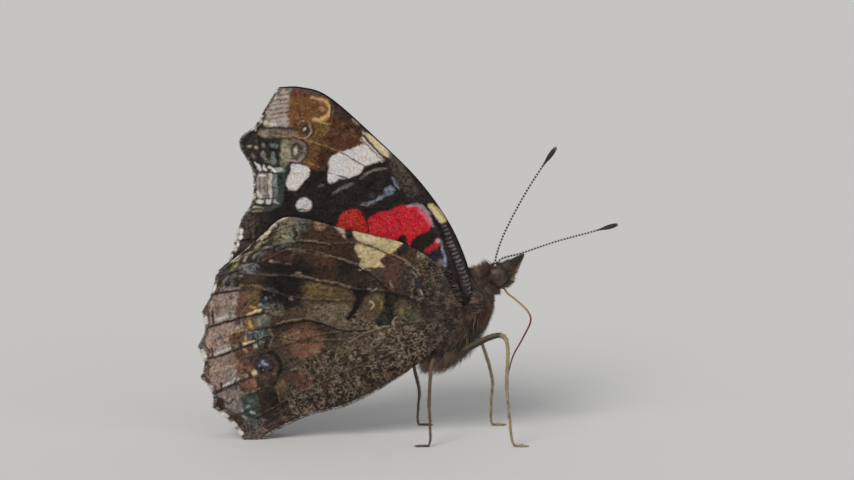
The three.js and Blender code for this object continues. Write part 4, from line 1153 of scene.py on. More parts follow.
def paint_hindwing(w):
    """The hindwing's underside."""
    # broad tones, from the hinge at the right out to the edge
    w.patch([195, 440, 195, 290, 216, 266, 262, 236, 290, 218, 480, 218, 480, 450, 240, 450], (68, 54, 43),
            1)
    w.patch([294, 246, 330, 240, 352, 250, 352, 300, 320, 312, 290, 300], (60, 46, 35), 6)
    w.patch([262, 262, 300, 258, 312, 270, 306, 300, 296, 314, 266, 312, 256, 296, 262, 280], (34, 29, 24),
            6)
    w.patch([308, 222, 340, 232, 356, 250, 354, 290, 330, 286, 318, 262, 306, 240], (66, 45, 32), 6)
    w.patch([316, 256, 332, 254, 338, 270, 330, 286, 320, 280], (76, 48, 32), 5)
    w.patch([336, 262, 360, 262, 368, 284, 350, 294, 336, 286], (46, 36, 31), 6)
    w.patch([305, 283, 346, 288, 352, 300, 346, 314, 306, 312, 302, 296], (88, 73, 50), 4)
    w.patch([308, 284, 330, 286, 334, 296, 312, 298], (112, 90, 54), 3, cover=0.8)
    w.patch([306, 309, 344, 306, 352, 322, 380, 330, 340, 331, 318, 323, 302, 318], (110, 94, 78), 4)
    w.patch([266, 312, 304, 308, 304, 320, 290, 322, 266, 326], (88, 68, 54), 3)
    w.patch([286, 332, 306, 326, 324, 334, 322, 352, 306, 364, 290, 372, 284, 356], (94, 71, 56), 4,
            ragged=1.5)
    w.patch([296, 338, 322, 336, 322, 350, 306, 352], (106, 78, 60), 3, ragged=1.5)
    w.patch([280, 336, 298, 332, 300, 342, 284, 347], (122, 100, 78), 3)
    w.patch([272, 348, 292, 346, 294, 366, 284, 374, 272, 366], (72, 60, 50), 3)
    w.patch([254, 386, 276, 384, 278, 408, 270, 426, 256, 420, 250, 400], (50, 39, 35), 3)
    w.patch([276, 386, 294, 384, 298, 394, 290, 402, 276, 402], (112, 88, 66), 3)
    w.patch([284, 378, 304, 378, 304, 387, 290, 390], (88, 50, 44), 3)
    w.patch([384, 256, 404, 258, 414, 268, 410, 288, 390, 288, 384, 276], (84, 57, 47), 4)
    w.patch([402, 246, 420, 248, 420, 266, 408, 266], (74, 42, 34), 3)
    w.patch([432, 272, 456, 266, 462, 288, 450, 304, 438, 296], (96, 66, 52), 5)
    w.patch([352, 330, 392, 332, 396, 352, 356, 362], (84, 64, 52), 6)
    w.patch([358, 338, 384, 334, 392, 344, 370, 350], (104, 82, 60), 4)
    w.patch([300, 352, 352, 352, 400, 372, 352, 400, 300, 420, 270, 420, 290, 380], (66, 57, 49), 8)
    w.patch([404, 262, 440, 258, 470, 296, 478, 340, 440, 360, 400, 360, 398, 300], (58, 45, 38), 8)
    # salt-and-pepper of pale and dark scales over the base and along the inner edge
    base = [352, 312, 398, 322, 420, 262, 450, 262, 466, 292, 480, 340, 440, 366, 400, 376, 352, 400,
            300, 422, 280, 418, 300, 372, 312, 350, 352, 352]
    w.flecks(base, (34, 29, 26), 2.3, 0.62, 0.85, layer=50)
    w.flecks(base, (104, 90, 74), 1.7, 0.42, 0.7, layer=52)
    w.flecks([400, 322, 470, 300, 476, 345, 430, 362, 398, 352], (96, 62, 54), 4, cover=0.55, layer=54)
    w.flecks([300, 352, 352, 350, 372, 372, 340, 396, 304, 400], (112, 100, 84), 1.8, cover=0.7,
             stretch=1.4, turn=-20, layer=56)
    w.flecks([404, 262, 470, 262, 470, 330, 410, 330], (110, 96, 78), 1.7, 0.36, 0.7, layer=58)
    w.flecks([404, 266, 470, 266, 470, 330, 410, 330], (30, 25, 24), cover=0.8, layer=60)
    w.flecks([306, 309, 352, 308, 380, 330, 392, 350, 352, 352, 330, 331], (150, 134, 112), 1.8, 0.5, 0.8,
             layer=48)
    w.flecks([306, 309, 352, 308, 380, 330, 372, 344, 330, 350, 312, 322], (62, 48, 40), 1.8, 0.42, 0.75,
             layer=49)
    for height in range(8):
        row = 287 + 3.2 * height
        w.line([306, row, 326, row + 0.6, 348, row + 1.5], (64, 50, 36) if height % 2 else (116, 96, 66),
               1.1, 1.2, cover=0.5)
    # the pale patch on the front edge
    w.patch([353, 231, 366, 233.6, 384, 238, 400, 240.6, 403, 243, 398, 248, 391, 254, 386, 254.6, 383, 258,
            379, 261, 384, 267, 376, 267.6, 366, 268, 360, 271, 359, 266, 361, 260, 357, 254, 354.6, 247,
            357, 243, 366, 242, 357, 239.4], (204, 182, 138), 1.3, ragged=0.7)
    w.patch([354, 232, 372, 236, 376, 243, 360, 240], (224, 205, 170), 3, cover=0.8)
    w.patch([356, 246, 366, 245, 372, 252, 366, 262, 362, 256], (214, 194, 148), 3, cover=0.8)
    w.flecks([356, 234, 400, 242, 390, 254, 366, 268, 358, 250], (122, 100, 64), 2.4, 0.34, 0.45, soft=2,
             stretch=1.6, turn=15, layer=62)
    w.line([354, 241.6, 366, 245, 378, 250, 392, 256], (112, 90, 64), 1.3, cover=0.9)
    w.patch([333, 226, 343, 227.6, 346, 232, 340, 233, 336, 229], (190, 170, 142))
    w.spot((344, 236), 3, (170, 152, 124), 2, squash=0.5, turn=35)
    w.patch([345, 229.6, 352, 230.6, 353, 238, 348, 238], (32, 26, 22), 1.8)
    w.line([330, 224, 352, 229, 372, 233.4, 404, 240.8, 420, 247, 432, 257, 440, 268], (150, 126, 98), 1.5,
           1, cover=0.9)
    w.patch([398, 250, 406, 243, 412, 245, 406, 254, 398, 257], (42, 32, 28))
    w.line([414, 246, 422, 251, 434, 260], (168, 146, 114), 2, 1.2)
    w.patch([418, 252, 426, 255, 424, 262, 418, 258], (136, 124, 96))
    w.patch([316, 221, 328, 223, 326, 229, 316, 228], (150, 122, 98), 3)
    w.patch([326, 226, 336, 229, 340, 240, 330, 238], (76, 52, 44), 3)
    # the front outer corner: cream strokes, teal curls and dark hollows
    w.patch([262, 237, 285, 217, 312, 218, 300, 240, 296, 256, 262, 262, 240, 276, 222, 274, 228, 262],
            (52, 46, 40), 2.5)
    w.flecks([276, 221, 296, 218, 298, 240, 276, 242], (166, 152, 122), 2, 0.55, 0.9, soft=3, layer=66)
    w.flecks([292, 219, 312, 220, 304, 232, 292, 232], (116, 122, 112), 2, 0.5, 0.9, soft=3, layer=68)
    for stops, tone, width in (([278, 221, 282, 219.4, 287, 218], (220, 206, 178), 2.8),
            ([270, 229, 272.6, 226, 275, 223.6], (206, 190, 180), 3.2),
            ([262, 238.4, 266, 235, 270, 231.4], (232, 218, 184), 4.4),
            ([270, 239, 274, 235, 276, 231], (84, 64, 34), 2.4),
            ([256, 248, 259, 245, 262, 242], (166, 152, 112), 4.2),
            ([264, 243, 268, 240.6], (150, 140, 112), 1.6),
            ([233, 260.6, 237, 259, 240.6, 257], (214, 190, 158), 4),
            ([232, 270, 234, 267, 237, 264], (150, 140, 100), 4.2),
            ([241, 263, 246, 261, 256, 262.6], (34, 28, 24), 1.8), ([241, 259, 242, 263], (40, 36, 18), 3),
            ([244.6, 261, 246, 256, 250, 252.6], (170, 164, 138), 3.2),
            ([250, 254, 254, 250.6], (120, 112, 98), 1.5),
            ([253, 259, 256, 254, 261, 251.4], (146, 138, 124), 1.8),
            ([258, 261, 260, 256, 266, 252], (84, 92, 84), 2.6),
            ([264, 249, 268, 247, 272, 247.4], (160, 146, 144), 2.4),
            ([272, 246, 276, 243, 282, 243], (112, 122, 112), 3),
            ([280, 247, 286, 244, 291, 244], (96, 108, 98), 3.6),
            ([283, 236, 287, 237.6, 291, 236], (176, 166, 140), 2.4),
            ([286, 229, 289, 233, 291, 236], (96, 106, 98), 3.2),
            ([294, 228, 296, 234, 294, 239], (38, 44, 38), 4),
            ([276, 249, 283, 251, 290, 250], (132, 128, 116), 1.6)):
        w.line(stops, tone, width, 1.4, thin=(0.7, 0.7))
    w.patch([267, 252, 290, 250, 292, 259, 268, 262], (64, 43, 37), 3)
    w.spot((295, 252), 3.4, (92, 62, 58), 2)
    w.line([290, 249, 300, 250.6, 305, 251], (144, 128, 112), 1.5)
    w.line([270, 261.6, 280, 262.6, 292, 264.6], (120, 104, 88), 1.8, cover=0.9)
    w.spot((271, 261), 1.6, (186, 172, 158), 1)
    w.patch([240, 265, 257, 264, 257, 272, 240, 272], (62, 54, 68))
    w.flecks([240, 265, 257, 264, 257, 273, 240, 272], (156, 150, 152), 2.4, 0.55, 0.9, soft=2, layer=70)
    w.patch([213, 279, 217, 272, 226, 268, 230, 272, 224, 279], (62, 54, 64))
    w.line([224, 288, 224, 282, 228, 277], (112, 116, 106), 2.4, 1.4)
    w.line([229, 289, 232, 284, 231, 278], (96, 106, 98), 2.8, 1.4)
    w.line([236, 279, 238, 285, 234, 290], (34, 32, 28), 2.2, 1.2)
    w.line([224, 290, 232, 289, 240, 288.6], (158, 144, 138), 2, 1.2)
    w.spot((234, 276), 2.4, (124, 116, 104))
    w.spot((241, 276), 2.4, (150, 130, 112), squash=0.6)
    w.line([240, 286, 250, 286, 258, 286.6, 266, 291], (126, 106, 76), 2, 1.6)
    # the blue-dotted ring and the teal curls between the black field and the border
    w.spot((272, 294), 7.4, (26, 24, 30), 2.4)
    for place in ((269, 290), (273, 289), (276.4, 291.6), (274, 295), (270.6, 298), (265.6, 299)):
        w.spot(place, 1.7, (124, 130, 142), 1.2)
    w.line([261, 299.6, 266, 302, 274, 302], (60, 60, 84), 1.8)
    w.patch([256, 304, 275, 303, 277, 310, 268, 314, 256, 311], (56, 62, 58))
    w.line([257, 308, 260, 305, 264, 308, 268, 309], (116, 126, 116), 2.4, 1.2)
    w.line([266, 305, 271, 306, 272, 311], (88, 102, 92), 2.4, 1.2)
    w.flecks([272, 303, 282, 303, 282, 318, 264, 318], (164, 148, 124), 2, 0.42, 0.85, soft=3, layer=72)
    w.patch([254, 318, 262, 315, 270, 320, 266, 327, 256, 326], (126, 128, 114), 2.5, ragged=0.6)
    w.flecks([254, 316, 272, 316, 268, 328, 254, 328], (58, 56, 50), 2, cover=0.8, soft=2, layer=74)
    w.patch([247, 331, 264, 330, 264, 341, 250, 342], (88, 98, 98), 2.5)
    w.patch([250, 335, 257, 335, 257, 341, 252, 342], (46, 46, 62))
    w.spot((254, 336), 1.6, (136, 146, 152), 1)
    w.flecks([246, 331, 268, 331, 266, 344, 248, 344], (150, 154, 142), 2, 0.34, 0.8, soft=2, layer=76)
    w.line([268, 330, 272, 338, 268, 348], (132, 116, 102), 1.8, cover=0.8)
    w.line([266, 340, 265, 348, 268, 353], (38, 34, 28), 3, 2)
    w.spot((254.6, 348), 2.2, (178, 176, 158), 1.4)
    # the border: lilac-pink boxes between dark veins, each with a wavy middle line and a white dash below
    w.patch([210, 296, 240, 292, 237, 306, 233, 320, 207, 326, 204, 310], (148, 126, 113))
    w.patch([206, 330, 240, 320, 243, 332, 229, 338, 227, 352, 206, 359, 200, 344], (152, 130, 118))
    w.patch([204, 362, 228, 356, 242, 352, 244, 364, 236, 376, 230, 386, 210, 392, 203, 378],
            (144, 122, 109))
    w.patch([214, 398, 226, 391, 240, 390, 244, 404, 238, 416, 222, 414, 214, 406], (130, 116, 108))
    w.patch([226, 312, 233, 311, 233, 319, 226, 321], (128, 126, 116))
    w.patch([222, 374, 232, 374, 238, 382, 228, 386], (132, 128, 118), 2.5)
    for stops in ([212, 308, 222, 308, 234, 306], [209, 341, 220, 340, 230, 337, 238, 333]):
        w.line(stops, (104, 78, 68), 1.1, 1, cover=0.85)
    w.line([209, 374.6, 220, 371, 229, 368.6, 236, 366, 242, 369], (184, 160, 124), 1.8, 1.2)
    for stops in ([217, 298, 219, 304, 216, 312, 219, 320], [224, 296, 226, 303, 224, 312],
            [216, 332, 219, 338, 215, 346, 218, 352], [224, 330, 226, 338, 223, 347],
            [214, 366, 218, 372, 215, 381], [224, 362, 227, 370, 224, 380], [224, 396, 227, 402, 224, 410]):
        w.line(stops, (112, 90, 84), 1.3, 1.2, cover=0.6)
    w.flecks([210, 294, 240, 292, 243, 352, 240, 412, 214, 408, 202, 344], (188, 168, 156), 2, 0.34, 0.6,
             soft=3, layer=78)
    w.spot((231, 298), 2.4, (92, 76, 84), 2)
    for stops, tone, width in (([215, 321, 220, 319.6, 226, 318], WHITE, 3.2),
            ([213, 357, 219, 354.6, 224, 352], WHITE, 3.8), ([224, 351.6, 229, 350], (190, 196, 180), 2.6),
            ([222, 388.4, 227, 386, 233, 384], WHITE, 3),
            ([230, 383, 234, 381.6, 238, 380.6], (180, 186, 166), 3),
            ([229, 317.6, 236, 317, 243, 315], (176, 164, 146), 1.8),
            ([228, 347, 233, 346.6, 238, 346], (150, 138, 116), 1.8)):
        w.line(stops, tone, width, 1.1, thin=(0.6, 0.8))
    # brown squares inside the border, closed below in cream
    w.patch([240, 292, 254, 289, 262, 293, 258, 303, 259, 310, 250, 314, 236, 316, 238, 304], (104, 76, 57),
            1.8)
    w.patch([248, 291, 258, 291, 256, 302, 248, 300], (112, 90, 58))
    w.spot((242, 301), 4.4, (120, 84, 66), 2, squash=0.5)
    w.line([247, 315.6, 253, 313, 260, 310.6], (222, 200, 148), 3.2, 1.3, thin=(0.6, 0.7))
    w.line([250, 307, 255, 309], (180, 148, 84), 2.4)
    w.patch([242, 321, 254, 318, 256, 330, 246, 330], (120, 94, 66), 2.4)
    w.line([249, 323, 251, 328], (190, 160, 96), 2.6, 1.6)
    w.spot((237, 323), 3.4, (92, 66, 62), 2)
    w.patch([229, 336, 243, 332, 248, 336, 247, 344, 236, 346, 229, 343], (110, 83, 62), 1.6)
    w.line([228, 335.6, 240, 331.6, 252, 330], (170, 142, 88), 1.6)
    w.line([243, 345.6, 248, 344.4, 253, 342.6], (226, 206, 154), 3, 1.2)
    w.line([244, 338, 246, 343], (186, 152, 122), 2.2)
    w.patch([234, 352, 248, 348, 256, 352, 250, 358, 236, 362], (98, 72, 62))
    w.line([243, 350, 246, 353], (170, 136, 104), 2.2)
    w.patch([238, 384, 252, 380, 256, 390, 250, 396, 240, 394], (112, 82, 67))
    w.line([252, 381, 254, 388], (150, 112, 76), 2.6, 1.6)
    w.line([240, 398, 248, 395, 258, 391], (136, 122, 104), 1.8)
    # the large eye mark and its dark crescent
    w.spot((263, 367), 15.4, (76, 54, 48), 2.2, squash=0.86)
    w.spot((263, 367), 10.6, (52, 40, 38), 2.2, squash=0.84)
    w.line([250, 362, 253, 356, 262, 354, 272, 355, 278, 362, 280, 370, 276, 378], (23, 19, 18), 5.2, 2,
           thin=(0.3, 0.6))
    w.line([262, 354.4, 268, 352.6], (66, 84, 60), 1.8)
    w.line([250, 364, 256, 376, 266, 380, 274, 376], (96, 66, 56), 2.6, 1.8)
    w.patch([256, 362, 268, 361, 270, 368, 264, 371, 256, 369], (60, 58, 70), 3)
    w.line([257.6, 367.6, 262, 366, 267, 366.6], (150, 156, 166), 2, 1.2, thin=(0.6, 0.8))
    w.spot((262, 363.4), 1.6, (146, 152, 172), 1.2)
    w.spot((262, 371.6), 2.4, (24, 22, 22), 1.2)
    w.spot((262.4, 372), 0.9, (110, 130, 124), 0.8)
    w.line([240, 366, 246, 371, 254, 375], (140, 96, 66), 2.4, 1.6)
    w.spot((253.6, 374.4), 2.6, (212, 190, 148), 1.4, squash=1.2)
    w.spot((245, 378), 2.4, (170, 136, 112))
    w.spot((249, 370), 2.6, (160, 126, 74), 1.8)
    w.patch([230, 360, 246, 362, 250, 370, 240, 378, 234, 370], (112, 82, 68), 3, cover=0.7)
    # the tip by the floor
    w.patch([238, 400, 256, 398, 258, 426, 248, 432, 238, 420], (58, 68, 62), 2.4)
    for place, radius, tone, squash, turn in (((246, 410), 3, (150, 158, 146), 0.55, -40),
            ((251.6, 416), 2.6, (186, 194, 184), 0.55, 20), ((243, 420), 3, (132, 140, 130), 0.5, 30),
            ((246, 427), 2.6, (136, 134, 128), 0.7, 0), ((250, 403), 3, (82, 94, 86), 0.8, 0),
            ((253, 426), 3.2, (84, 96, 92), 1.2, 0), ((239, 413), 2.8, (190, 180, 166), 0.6, 40)):
        w.spot(place, radius, tone, squash=squash, turn=turn)
    w.patch([228, 408, 240, 404, 240, 414, 230, 412], (136, 126, 124), 2.4)
    w.line([222, 404, 228, 406, 232, 402], (58, 44, 44), 1.8)
    w.patch([214, 404, 221, 400, 223, 412, 215, 412], (56, 42, 42))
    w.flecks([240, 424, 262, 424, 262, 444, 244, 444], (128, 112, 110), 2, 0.45, 0.8, soft=3, stretch=1.5,
             turn=-30, layer=80)
    w.patch([268, 396, 277, 396, 277, 412, 270, 412], (26, 22, 19), 2.4)
    w.line([277, 396, 279, 404], (124, 104, 84), 2.2)
    w.spot((266, 388), 4, (58, 60, 48), 3)
    w.spot((265, 405), 2, (70, 62, 52), squash=0.6)
    w.spot((263, 423.6), 3.4, (120, 106, 98), 1.8, squash=0.5)
    # streaks of long scales that run with the inner edge
    for k in range(26):
        start = 258 + 7.3 * k % 96
        drop = k * 13 % 9
        run = 12 + k * 7 % 16
        row = 437 - 0.42 * (start - 258) - 2.1 * drop
        tone = ((124, 112, 112), (44, 36, 34), (98, 88, 86))[k % 3]
        w.line([start, row, start + run / 2, row - 0.26 * run, start + run, row - 0.46 * run], tone, 1.3,
               1.1, cover=0.75, thin=(0.2, 0.2))
    w.patch([310, 404, 350, 392, 362, 398, 330, 412], (38, 31, 28), 3, cover=0.8)
    w.patch([352, 352, 378, 360, 386, 372, 366, 384, 356, 368], (52, 42, 36), 5, cover=0.7)
    w.line([374, 362, 382, 366, 384, 374], (52, 38, 30), 4, 3)
    w.line([392, 354, 397, 357, 402, 362], (128, 120, 108), 1.6, 1.5)
    w.patch([302, 370, 320, 368, 322, 380, 304, 382], (96, 85, 62), 4, ragged=1.5)
    w.spot((313, 378), 2.6, (122, 108, 76), 3, squash=0.7)
    w.spot((341, 355), 3.6, (98, 88, 62), 3.6)
    w.spot((317, 354), 3.4, (102, 96, 82), 3.4)
    w.line([301, 398, 304, 392, 309, 387], (128, 134, 104), 1.8, 1.2)
    w.line([290, 372, 298, 370, 306, 372], (134, 120, 100), 1.6)
    w.flecks([284, 335, 322, 335, 322, 372, 286, 372], (76, 50, 38), 3, 0.3, 0.6, soft=3, layer=82)
    # dark scales in between everywhere, and the veins: dark lines, each with a painted highlight, a pale line
    # along its upper side where the light grazes the raised vein
    whole = [195, 440, 195, 290, 230, 250, 290, 215, 480, 215, 480, 450]
    w.flecks(whole, (36, 28, 24), 1.5, 0.45, 0.3, layer=84)
    w.flecks(whole, (30, 24, 21), 4.6, 0.35, 0.35, layer=86)
    w.flecks(whole, (132, 116, 98), 1.4, 0.25, 0.1, layer=88)
    for stops, cover in (([274, 268, 296, 264, 312, 270, 302, 284, 292, 306, 278, 308, 268, 300, 270, 284],
            0.8), ([262, 264, 282, 262, 282, 276, 264, 276], 0.5),
            ([318, 268, 332, 270, 330, 284, 316, 280], 0.4),
            ([336, 242, 352, 250, 352, 274, 340, 270], 0.35),
            ([272, 312, 300, 320, 292, 332, 270, 334], 0.4),
            ([318, 322, 350, 330, 346, 342, 322, 340], 0.3),
            ([268, 392, 300, 400, 292, 416, 264, 428], 0.45),
            ([408, 288, 430, 300, 428, 326, 406, 330], 0.35),
            ([404, 334, 438, 322, 440, 346, 408, 352], 0.3)):
        w.patch(stops, (24, 20, 17), 7, cover=cover, ragged=2.5)
    w.flecks(base, (22, 16, 13), 3, 0.5, layer=31)
    w.flecks(base, (88, 60, 48), 5, 0.25, 0.5, layer=35)
    w.flecks(base, (24, 18, 14), 13, 0.5, 0.6, layer=37)
    w.flecks(base, (138, 120, 100), 2.4, 0.24, 0.85, stretch=1.3, turn=20, layer=33)
    w.patch([288, 334, 306, 330, 320, 338, 318, 352, 304, 360, 290, 356], (122, 84, 66), 5, cover=0.55,
            ragged=2)
    w.patch([294, 378, 306, 374, 312, 386, 300, 394], (96, 56, 48), 4, cover=0.5, ragged=2)
    # dark forms of the middle: the hooked bar and the hourglass
    w.patch([354, 290, 366, 287, 370, 293, 362, 300, 358, 310, 350, 320, 345, 320, 352, 308, 356, 300],
            (22, 18, 16), ragged=0.8)
    w.line([362, 300, 370, 296, 378, 293], (36, 29, 25), 2.4, 1.4)
    w.patch([384, 294, 391, 291.6, 398, 295, 398, 301, 393, 306, 394, 312, 394, 322, 390, 328, 381, 329,
            376, 324, 379, 316, 385, 310, 385, 302], (22, 20, 17), 1.6, ragged=0.6)
    w.patch([389, 296, 396, 297, 393, 304, 388, 304], (44, 38, 30))
    w.flecks([380, 310, 394, 310, 392, 328, 378, 328], (66, 66, 58), 2, 0.3, 0.8, soft=2, layer=64)
    w.patch([368, 296, 382, 294, 384, 306, 378, 318, 370, 322, 362, 318, 362, 304], (92, 76, 58), 2.5,
            cover=0.7)
    w.line([370, 302, 373.6, 305, 371, 310], (170, 154, 126), 1.5, 1.2)
    w.line([378, 298, 382, 304, 380, 310], (122, 112, 62), 2.6, 1.8)
    w.patch([396, 304, 404, 300, 408, 308, 405, 318, 397, 320, 394, 312], (84, 74, 50), 2.5, cover=0.7)
    w.spot((401, 312), 2, (112, 98, 62), 2, squash=1.6)
    w.line([394, 330, 393, 322, 397, 318], (138, 126, 110), 1.5)
    w.line([376, 327, 382, 330.4, 394, 329.4], (128, 114, 100), 1.4)
    w.patch([410, 300, 424, 300, 428, 312, 424, 322, 416, 314], (56, 40, 32), 3)
    w.patch([408, 312, 420, 310, 422, 322, 410, 326], (70, 66, 54), 4)
    w.line([368, 289, 372, 291.6, 376, 289], (156, 148, 124), 1.4)
    w.line([412, 272, 416, 276, 413, 284, 420, 290, 423, 298, 418, 300], (160, 148, 126), 2, 1.3)
    w.line([420, 278, 423, 286, 425, 298], (30, 25, 24), 2.2, 1.3)
    w.patch([414, 278, 422, 280, 420, 290, 414, 288], (46, 42, 50), 2.4)
    w.line([390, 282, 392, 288], (140, 128, 108), 1.4)
    w.line([460, 306, 459, 313, 456, 319], (150, 128, 92), 2.4)
    w.patch([452, 304, 462, 302, 462, 316, 454, 320], (102, 84, 50), 3, cover=0.7)
    w.patch([444, 320, 460, 318, 462, 330, 446, 332], (36, 30, 26), 4)
    w.patch([428, 306, 444, 306, 446, 318, 432, 324], (56, 54, 46), 5)
    # painted highlight: a faint pale line 1.3 rows above each vein, then the dark vein itself
    for stops in HINDWING_VEINS:
        w.line([(column, row - 1.3) for column, row in stops], (112, 98, 80), 1.2, 1.1, cover=0.35)
        w.line(stops, (34, 27, 24), 1.4, 1.1, cover=0.65)
    for stops, tone, width in (([396, 296, 385, 288, 378, 281, 370, 274, 358, 268, 350, 265, 335, 258,
            320, 254], (34, 27, 24), 2),
            ([424, 298, 421, 284, 415, 272, 405, 263, 392, 256], (42, 34, 30), 1.6),
            ([352, 290, 335, 286, 320, 283, 305, 279], (34, 28, 24), 1.7),
            ([352, 302, 335, 301.6, 318, 301, 296, 300], (58, 42, 32), 1.1), ([366, 331, 352, 332,
            340, 331.4, 330, 328, 320, 324.6, 306, 322, 292, 323.4, 276, 328, 262, 330, 248, 331],
            (30, 24, 22), 2.2), ([390, 329, 374, 332, 366, 335, 356, 340], (44, 36, 32), 1.4), ([322, 336,
            312, 338, 300, 342, 290, 345, 278, 348, 268, 352, 255, 357, 240, 362], (74, 52, 38), 1.8),
            ([318, 343, 308, 341, 300, 345], (50, 38, 32), 1.4),
            ([384, 292, 396, 295, 410, 299, 420, 306], (34, 27, 24), 2.6)):
        w.line(stops, tone, width, 1.1, thin=(0.7, 0.7))
    # painted highlights: pale lines two or three rows above the heavy dark veins, where the light catches
    # their upper side
    for stops in ([370, 271, 360, 265.6, 350, 262, 338, 258, 322, 253.6], [410, 264, 402, 259, 392, 254.4],
            [405, 262.6, 412, 267, 419, 273], [350, 287, 335, 283, 320, 280.6, 305, 276.6, 291, 275],
            [330, 244.6, 312, 241, 300, 240], [390, 327, 376, 329.6, 360, 337, 352, 342],
            [276, 325, 290, 321, 300, 319.6]):
        w.line(stops, (128, 112, 90), 1.2, 1, cover=0.85)
    w.line([330, 247, 314, 243.6, 296, 242], (40, 32, 26), 1.4)
    w.line([290, 251, 310, 253, 330, 257], (96, 82, 66), 1.2, cover=0.8)
    w.line([248, 273.6, 262, 275, 276, 276], (112, 98, 84), 1.2, cover=0.7)
    w.spot((298, 273.4), 3, (124, 110, 104), squash=0.5)
    w.spot((290.6, 299), 2.2, (110, 98, 92))
    for stops in ([208, 296, 222, 293, 240, 291], [204, 330, 215, 325.6, 234, 321, 248, 317, 262, 314],
            [203, 361.6, 216, 358, 229, 353.6, 241, 349, 254, 343.6, 266, 338],
            [213, 396, 222, 391, 232, 387, 240, 383.6, 252, 379]):
        w.line(stops, (42, 30, 30), 2.2, 1.1, thin=(0.9, 0.6))
    # the dark line just inside the edge, and the brown blocks outside the boxes
    w.line([216, 279, 214, 288, 210, 297, 207, 306, 208, 318, 207, 327, 204, 336, 203, 346, 208, 352,
           206, 361, 205, 370, 204, 380, 211, 388, 215, 398, 220, 408, 232, 416, 242, 424, 250, 434],
           (56, 42, 40), 2.4, 1.4, cover=0.8)
    w.line([212, 312, 213, 324], (64, 46, 42), 2)
    w.line([211, 350, 212, 359], (64, 46, 42), 2)
    w.line([220, 386, 220, 392], (52, 38, 36), 2.2)
    w.line([207, 364, 207, 376], (92, 66, 48), 3, 1.8)


tips = np.array(HINDWING_TIPS)
chord = np.diff(tips, axis=0)
inward = unit(np.column_stack([-chord[:, 1], chord[:, 0]]))
t = np.linspace(0, 1, 60, endpoint=False)[None, :, None]
dip = np.array(HINDWING_DIPS)[:, None, None] * np.sin(np.pi * t)
scallops = (tips[:-1, None] + chord[:, None] * t + inward[:, None] * dip).reshape(-1, 2)
hindwing_edge = np.vstack([scallops, tips[-1], np.linspace(tips[-1], HINDWING_INNER[-1], 30)[1:]])
hindwing_sheet = wing_sheet(edge_line(HINDWING_COSTA), even_steps(hindwing_edge, 500),
                            edge_line(HINDWING_INNER), edge_line(HINDWING_BASE, 100),
                            *HINDWING_GRID, (FRINGE / HINDWING_SPAN, HEM / HINDWING_CHORD))
build_wing("hindwing_sheet", "hindwing", hindwing_sheet, hindwing_place, HINDWING_LIFT, HINDWING_VEINS,
           paint_hindwing, paint_hindwing_upper, UMBER)


# Fringes: long narrow scales that stand out flat from the wing edges, white between the ends of the
# veins and dark at them, and a soft grey-brown hem of hair along the hindwing's inner edge.
def fringe(name, place, lift, edge, pale_at, count, reach, seed):
    """Blades along one edge of a wing. edge holds its last line of points and one from farther in, pale_at
    the chart places and radii of its white spots, and reach the range of lengths."""
    draw = np.random.default_rng(seed)
    rim, before = edge
    spot = np.sort(draw.uniform(0, 1, count))
    root = at_shares(rim, spot)
    out = unit(root - at_shares(before, spot))
    root = root - out * draw.uniform(0.02, 0.16, count)[:, None]
    y = place(root[:, 0], root[:, 1]) + lift + draw.uniform(-0.05, 0.05, count)
    column, row = on_chart(root[:, 0], y, root[:, 1])
    chance = draw.uniform(0, 1, count)
    pale = 0.35 * (chance > 0.7)
    for end_column, end_row, radius in pale_at:
        away = np.hypot(column - end_column, row - end_row) + 1.6 * (chance - 0.5)
        pale = np.maximum(pale, 1 - rise(radius - 1, radius + 1, away))
    pale = pale[:, None]
    tone = pale * screen(238, 231, 222) + (1 - pale) * screen(70, 58, 51)
    tone = tone * draw.uniform(0.85, 1.15, (count, 1))
    length = draw.uniform(*reach, count) * (0.75 + 0.25 * pale[:, 0])
    slope = draw.normal(size=count) * 0.12
    aside = draw.normal(size=count) * 0.06
    lead = unit(np.column_stack([out[:, 0] - slope * out[:, 1], aside, out[:, 1] + slope * out[:, 0]]))
    width = draw.uniform(0.08, 0.13, count)
    root = np.column_stack([root[:, 0], y, root[:, 1]])
    blade = blades(root, lead, 0.05 * lead[:, ::-1], length, width, 0.3, seed)
    blade[:, :, 2] = np.maximum(blade[:, :, 2], 0.0)
    spot = np.column_stack([0.01 + 0.97 * spot, np.full(count, 0.5)])
    for side, sign in SIDES:
        hem = blade_piece(f"{name}_{side}", mirrored(blade, sign), (tone * 0.95, tone * 1.15), spot)


FOREWING_PALE = [(278, 91, 2.5), (270, 100, 3), (263, 118, 4), (257, 129, 3), (248, 139, 2), (248, 162, 3),
                 (253, 174, 3), (255, 184, 2), (253, 196, 4), (248, 208, 3), (241, 231, 3.5), (240, 239, 4),
                 (236, 248, 3), (233, 257, 3)]
HINDWING_PALE = [(262, 237, 4), (250, 247, 4), (236, 257, 4), (213, 287, 5), (204, 321, 5), (203, 356, 5.5),
                 (208, 391, 5), (223, 419, 5), (233, 428, 4), (240, 435, 3.5)]
outer_edge = forewing_sheet[-1], forewing_sheet[-3]
fringe("forewing_fringe", forewing_place, FOREWING_LIFT, outer_edge, FOREWING_PALE, 1700, (0.3, 0.46), 31)
outer_edge = hindwing_sheet[-1], hindwing_sheet[-3]
fringe("hindwing_fringe", hindwing_place, HINDWING_LIFT, outer_edge, HINDWING_PALE, 2300, (0.4, 0.62), 32)
inner_edge = hindwing_sheet[:, -1], hindwing_sheet[:, -3]
fringe("hindwing_hem", hindwing_place, HINDWING_LIFT, inner_edge, [], 1400, (0.3, 0.7), 33)


